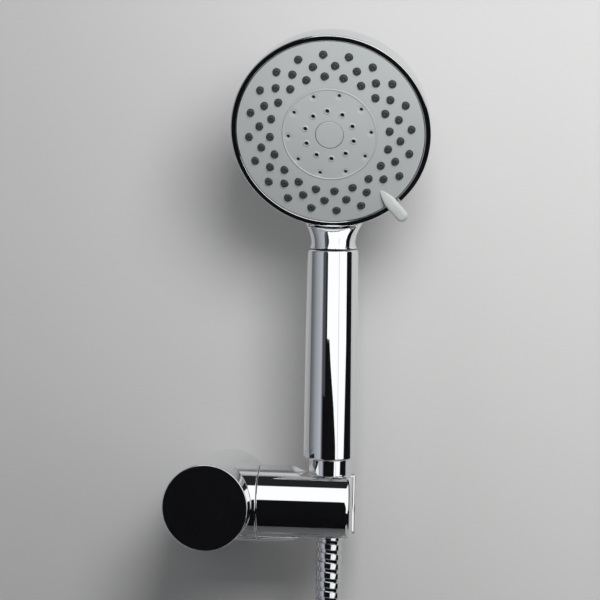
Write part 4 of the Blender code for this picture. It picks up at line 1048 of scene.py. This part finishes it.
def make_middle(turns=700):
    outline = dome_profile(CAP_RADIUS + 0.2, INSERT_RADIUS - PLATE_GAP, rows=90)
    points, normals = turn_points(*outline, circle(turns))
    move, holes = jet_height(points[:, :2])
    front = normals[:, 2] > 0.9
    points[:, 2] += move * front
    quads = grid_quads(len(outline[0]), turns)
    points = placed(points, FACE)
    disc = piece(
        "jet_disc", points, quads, face_normals(points, quads), jet_material(), "spray_face",
        replaces=("face_insert",), slot="grey_plastic",
    )
    disc.data.attributes.new("hole", "FLOAT", "POINT").data.foreach_set("value", holes * front)
    return disc


turned(
    "domed_face", dome_profile(INSERT_RADIUS + PLATE_GAP, RIM - BEZEL_WIDTH - 0.3, rows=30),
    FACE, FACE_GREY, "spray_face", turns=256, replaces=("face_plate",), slot="grey_plastic",
)
turned(
    "small_cap",
    profile((0, DOME, 0), (CAP_RADIUS, dome(CAP_RADIUS), 0.5), (CAP_RADIUS, 3.4, 0.2), (0, 3.4, 0)),
    FACE, FACE_GREY, "spray_face", turns=96, replaces=("centre_cap",), slot="grey_plastic",
)
make_middle()
make_nozzles()

# %% [markdown]
# ### The lever
# The lever is a leaf of light grey plastic. It starts as a point on the face, rises and widens as it
# passes through the bezel's notch, and ends in a round tip that a thumb pushes.

# %% Lever
LEVER_INNER, LEVER_OUTER, LEVER_TOP, LEVER_FOOT, LEVER_THICK = 41.0, 62.0, 5.0, 0.9, 0.1
LEVER_SQUARENESS, LEVER_TIP, LEVER_ROWS, LEVER_SIDES = 0.7, 0.14, 60, 48


def make_lever():
    """Sections across the lever: squarish ovals (cos and sin to the power 0.7) whose width and height
    follow its length."""
    share = np.linspace(0, 1, LEVER_ROWS)[:, None]
    angle = circle(LEVER_SIDES)[None]
    tip = np.sqrt(np.clip(1 - (np.clip(share - 1 + LEVER_TIP, 0, 1) / LEVER_TIP) ** 2, 0, 1))
    half = LEVER_HALF * np.minimum(1, (share / 0.36) ** 0.6) * tip
    reach = LEVER_INNER + (LEVER_OUTER - LEVER_INNER) * share
    low = dome(np.minimum(reach, RIM - BEZEL_WIDTH)) + 0.05
    low = low + ease((reach - RIM + 3) / 2.5) * (LEVER_FOOT - low)
    foot = low + LEVER_THICK
    high = foot + (LEVER_TOP - foot) * np.sin(np.clip(share / 0.6, 0, 1) * math.pi / 2)
    c, s = (np.sign(v) * np.abs(v) ** LEVER_SQUARENESS for v in (np.cos(angle), np.sin(angle)))
    x, z = half * c, (high + low) / 2 + (high - low) / 2 * tip * s
    along = clockwise(1.0, LEVER_ANGLE)
    points = np.stack([x * along[1] + reach * along[0], reach * along[1] - x * along[0], z], axis=-1)
    points = placed(points.reshape(-1, 3), FACE)
    quads = grid_quads(LEVER_ROWS, LEVER_SIDES)
    return welded(
        "mode_lever", points, quads, face_normals(points, quads), LEVER_GREY, "spray_face",
        replaces=("selector_lever",), slot="lever_plastic",
    )


make_lever()

# %% [markdown]
# ## The pieces inside
# The screws, seals, washers and the spray body stay as the frame has them: turned and moulded parts
# that no one sees. They only take their finish.

# %% Finishes for the inner pieces
SLOT_FINISH = dict(
    chromed_brass=CHROME, chromed_plastic=CHROME, steel=STEEL, brass=BRASS, white_plastic=WHITE,
    grey_plastic=FACE_GREY, lever_plastic=LEVER_GREY, silicone=SILICONE, rubber=RUBBER,
    hose_chrome=HOSE_CHROME,
)


def finish_nodes():
    slots = {row["node"]: row["material_slot"] for row in frame["record"]["subparts"]}
    for name, node in frame["nodes"].items():
        node.data.materials.clear()
        node.data.materials.append(SLOT_FINISH[slots[name]])
    print(len(slots), "nodes finished")


finish_nodes()

# %% [markdown]
# ## Wall, floor and light
# Chrome shows the room more than itself, so the room matters. Here it is a dim one with a wide bright
# window in front and to the right. The wall and the floor are plain and pale, and both can be looked
# through from behind. The wall's colour has painted light: a little lighter towards its upper right and
# darker towards its foot, standing in for the window's light falling off.

# %% Wall and floor
WALL_COLOUR, FLOOR_COLOUR = (0.54, 0.54, 0.535), (0.60, 0.60, 0.59)
# Painted light: ramps that scale the wall's colour, lighter towards the upper right and darker below.
WALL_PAINTED_LIGHT = {"X": (-0.12, 0.20, 0.90, 1.10), "Z": (-0.06, 0.27, 0.885, 0.975)}
WALL_LEFT, WALL_RIGHT, WALL_TOP, FLOOR_Z, FLOOR_FRONT = -0.40, 0.50, 1.8, -0.5, -0.39


def stage_material(name, colour, painted_light=()):
    """A matt, slightly uneven surface that the camera can see through from behind. A painted light ramp
    makes the colour a little lighter along a direction, standing in for how the light falls."""
    material, tree, shader = new_material(name, colour, 0.8)
    place = tree.nodes.new("ShaderNodeTexCoord").outputs["Object"]
    raise_surface(tree, shader, noise(tree, place, 180.0, 4.0), 0.12, 0.0005)
    # Painted light: the colour is scaled by a ramp along each given axis.
    if painted_light:
        parts = feed(tree, tree.nodes.new("ShaderNodeSeparateXYZ"), {0: place})
        levels = [remap(tree, parts[axis], *shade) for axis, shade in painted_light.items()]
        feed(tree, shader, {"Base Color": vector_node(tree, "SCALE", colour, product(tree, *levels))})
    clear = tree.nodes.new("ShaderNodeBsdfTransparent").outputs["BSDF"]
    behind = tree.nodes.new("ShaderNodeNewGeometry").outputs["Backfacing"]
    seen = tree.nodes.new("ShaderNodeLightPath").outputs["Is Camera Ray"]
    values = {0: product(tree, behind, seen), 1: shader.outputs["BSDF"], 2: clear}
    mixed = feed(tree, tree.nodes.new("ShaderNodeMixShader"), values)["Shader"]
    feed(tree, tree.nodes["Material Output"], {"Surface": mixed})
    return material


def stage_sheet(name, corners, material):
    mesh = bpy.data.meshes.new(name)
    mesh.from_pydata(corners, [], [tuple(range(len(corners)))])
    mesh.materials.append(material)
    obj = new_object(name, mesh)
    print(name, "has", len(corners), "corners")
    return obj


foot = [(WALL_LEFT, 0, FLOOR_Z), (WALL_RIGHT, 0, FLOOR_Z)]
top = [(WALL_RIGHT, 0, WALL_TOP), (WALL_LEFT, 0, WALL_TOP)]
front = [(WALL_LEFT, FLOOR_FRONT, FLOOR_Z), (WALL_RIGHT, FLOOR_FRONT, FLOOR_Z)]
stage_sheet("back_wall", foot + top, stage_material("wall paint with painted light", WALL_COLOUR, WALL_PAINTED_LIGHT))
stage_sheet("pale_floor", front + foot[::-1], stage_material("floor", FLOOR_COLOUR))

# %% [markdown]
# ### The room
# The world is read by direction: its azimuth, from straight out of the wall towards the right, and its
# height above the horizon. A colour ramp over the azimuth is the dim room, and the window is a shape in
# the same two angles: an edge is a smooth step, and a product of edges is a pane. Some edges slant, so
# each is four numbers: two angles, and where the edge lies at them. Mirrors see all of this light,
# matt surfaces take a share of it, and the camera sees a plain grey.

# %% World
ROOM = (
    (-180, 0.30), (-112, 0.26), (-103, 0.16), (-93, 0.15), (-85, 0.185), (-75, 0.28), (-65, 0.38),
    (-57, 0.43), (-50, 0.48), (-42, 0.53), (-38, 0.44), (-35, 0.15), (-31, 0.06), (-26, 0.09),
    (-21, 0.03), (-14, 0.006), (78, 0.006), (104, 0.01), (112, 0.30), (180, 0.30),
)
ROOM_TINT = (0.93, 0.97, 1.06)
ROOM_LOW, ROOM_HIGH, ROOM_FILL, BELOW_LEVEL = -58, 56, 0.72, 0.10
ROOM_DARK, BACKDROP = (0.02, 0.02, 0.021, 1.0), (0.62, 0.62, 0.615, 1.0)
PANE, PANE_TOP = 1.22, 57
PANE_LEFT, PANE_LOW = (14, 57, -14.5, -28), (17, 24, -13, -16)
PANE_RIGHT, PANE_CORNER = (-7, 5, 72, 75.5), (-12, -7, -14, 0)
BAR_LEFT, BAR_RIGHT, BAR_TOP, BAR_LEVEL = 34.4, 37.4, 15, 0.66


def past(tree, value, edge, soft=0.6):
    """0 below an edge and 1 above it, over a soft width."""
    return remap(tree, math_node(tree, "SUBTRACT", value, edge), -soft, soft, 0, 1, smooth=True)


def before(tree, value, edge, soft=0.6):
    return math_node(tree, "SUBTRACT", 1.0, past(tree, value, edge, soft))


def room_ramp(tree, azimuth):
    ramp = tree.nodes.new("ShaderNodeValToRGB")
    stops = ramp.color_ramp.elements
    while len(stops) < len(ROOM):
        stops.new(0.5)
    for stop, (angle, level) in zip(stops, ROOM):
        stop.position = (angle + 180) / 360
        stop.color = (*(level * tint for tint in ROOM_TINT), 1.0)
    return feed(tree, ramp, {"Fac": remap(tree, azimuth, -180, 180, 0, 1)})["Color"]


def window(tree, azimuth, height):
    """The pane between its four edges, less the bar that darkens a strip of it. The right edge is the
    sum of a slant and a cut corner."""
    left, low = remap(tree, height, *PANE_LEFT), remap(tree, azimuth, *PANE_LOW)
    right = math_node(tree, "ADD", remap(tree, height, *PANE_RIGHT), remap(tree, height, *PANE_CORNER))
    bar = product(
        tree, past(tree, azimuth, BAR_LEFT, 0.4), before(tree, azimuth, BAR_RIGHT, 0.4),
        before(tree, height, BAR_TOP, 1.0),
    )
    return product(
        tree, past(tree, azimuth, left), before(tree, azimuth, right), past(tree, height, low),
        before(tree, height, PANE_TOP, 1.0), remap(tree, bar, 0, 1, 1.0, BAR_LEVEL), PANE,
    )


def make_world():
    world = bpy.data.worlds.new("room")
    world.use_nodes = True
    bpy.context.scene.world = world
    tree = world.node_tree
    direction = tree.nodes.new("ShaderNodeTexCoord").outputs["Generated"]
    east, north, up = feed(tree, tree.nodes.new("ShaderNodeSeparateXYZ"), {0: direction})
    degrees = 180 / math.pi
    azimuth = product(tree, math_node(tree, "ARCTAN2", east, product(tree, north, -1.0)), degrees)
    height = product(tree, math_node(tree, "ARCSINE", up, 0.0), degrees)
    dim = product(tree, past(tree, height, ROOM_LOW, 3.0), before(tree, height, ROOM_HIGH, 2.0))
    room = mix_colours(tree, dim, ROOM_DARK, room_ramp(tree, azimuth))
    low = product(tree, before(tree, height, ROOM_LOW, 3.0), BELOW_LEVEL)
    bright = math_node(tree, "ADD", window(tree, azimuth, height), low)
    path = tree.nodes.new("ShaderNodeLightPath").outputs
    share = remap(tree, path["Is Glossy Ray"], 0, 1, ROOM_FILL, 1.0)
    light = vector_node(tree, "SCALE", vector_node(tree, "ADD", room, bright), share)
    shown = mix_colours(tree, path["Is Camera Ray"], light, BACKDROP)
    feed(tree, tree.nodes["Background"], {"Color": shown})
    print("the world has", len(tree.nodes), "nodes")


make_world()
bpy.context.scene.view_settings.view_transform = "Standard"

# %% [markdown]
# ### Softbox and flag
# One softbox in front of the window draws the soft shadows. The chrome doesn't mirror it. Below it
# stands a black flag, as on a product table: polished metal needs something dark to show, or it looks
# like white plastic. The camera looks through the flag.

# %% Softbox and flag
SOFTBOX_TOWARDS, SOFTBOX_DISTANCE = towards(18, 26), 0.75
SOFTBOX_AIM = np.array((0.05, -0.05, 0.12))
SOFTBOX_SIZE, SOFTBOX_WATTS = 0.34, 5.35
FLAG_Y, FLAG_BLACK = -0.283, (0.018, 0.018, 0.020)
FLAG_EDGE = (
    (-62, 20), (-12, 20), (-10, 58), (50, 58), (74.5, 41.7), (130.6, 14), (169, -12), (173, -28),
    (145, -80), (140, -500), (-62, -500),
)


def make_softbox():
    data = bpy.data.lights.new("softbox", "AREA")
    data.shape, data.size, data.energy = "SQUARE", SOFTBOX_SIZE, SOFTBOX_WATTS
    lamp = new_object("softbox", data)
    place = SOFTBOX_AIM + SOFTBOX_DISTANCE * SOFTBOX_TOWARDS
    stand(lamp, seat(place, SOFTBOX_TOWARDS)[1], place)
    lamp.visible_camera = lamp.visible_glossy = False


def make_flag():
    corners = [(x * MM, FLAG_Y, z * MM) for x, z in FLAG_EDGE]
    material, tree, shader = new_material("black felt", FLAG_BLACK, 1.0)
    feed(tree, shader, {"Specular IOR Level": 0.0})
    flag = stage_sheet("black_flag", corners, material)
    flag.visible_camera = flag.visible_transmission = False


make_softbox()
make_flag()
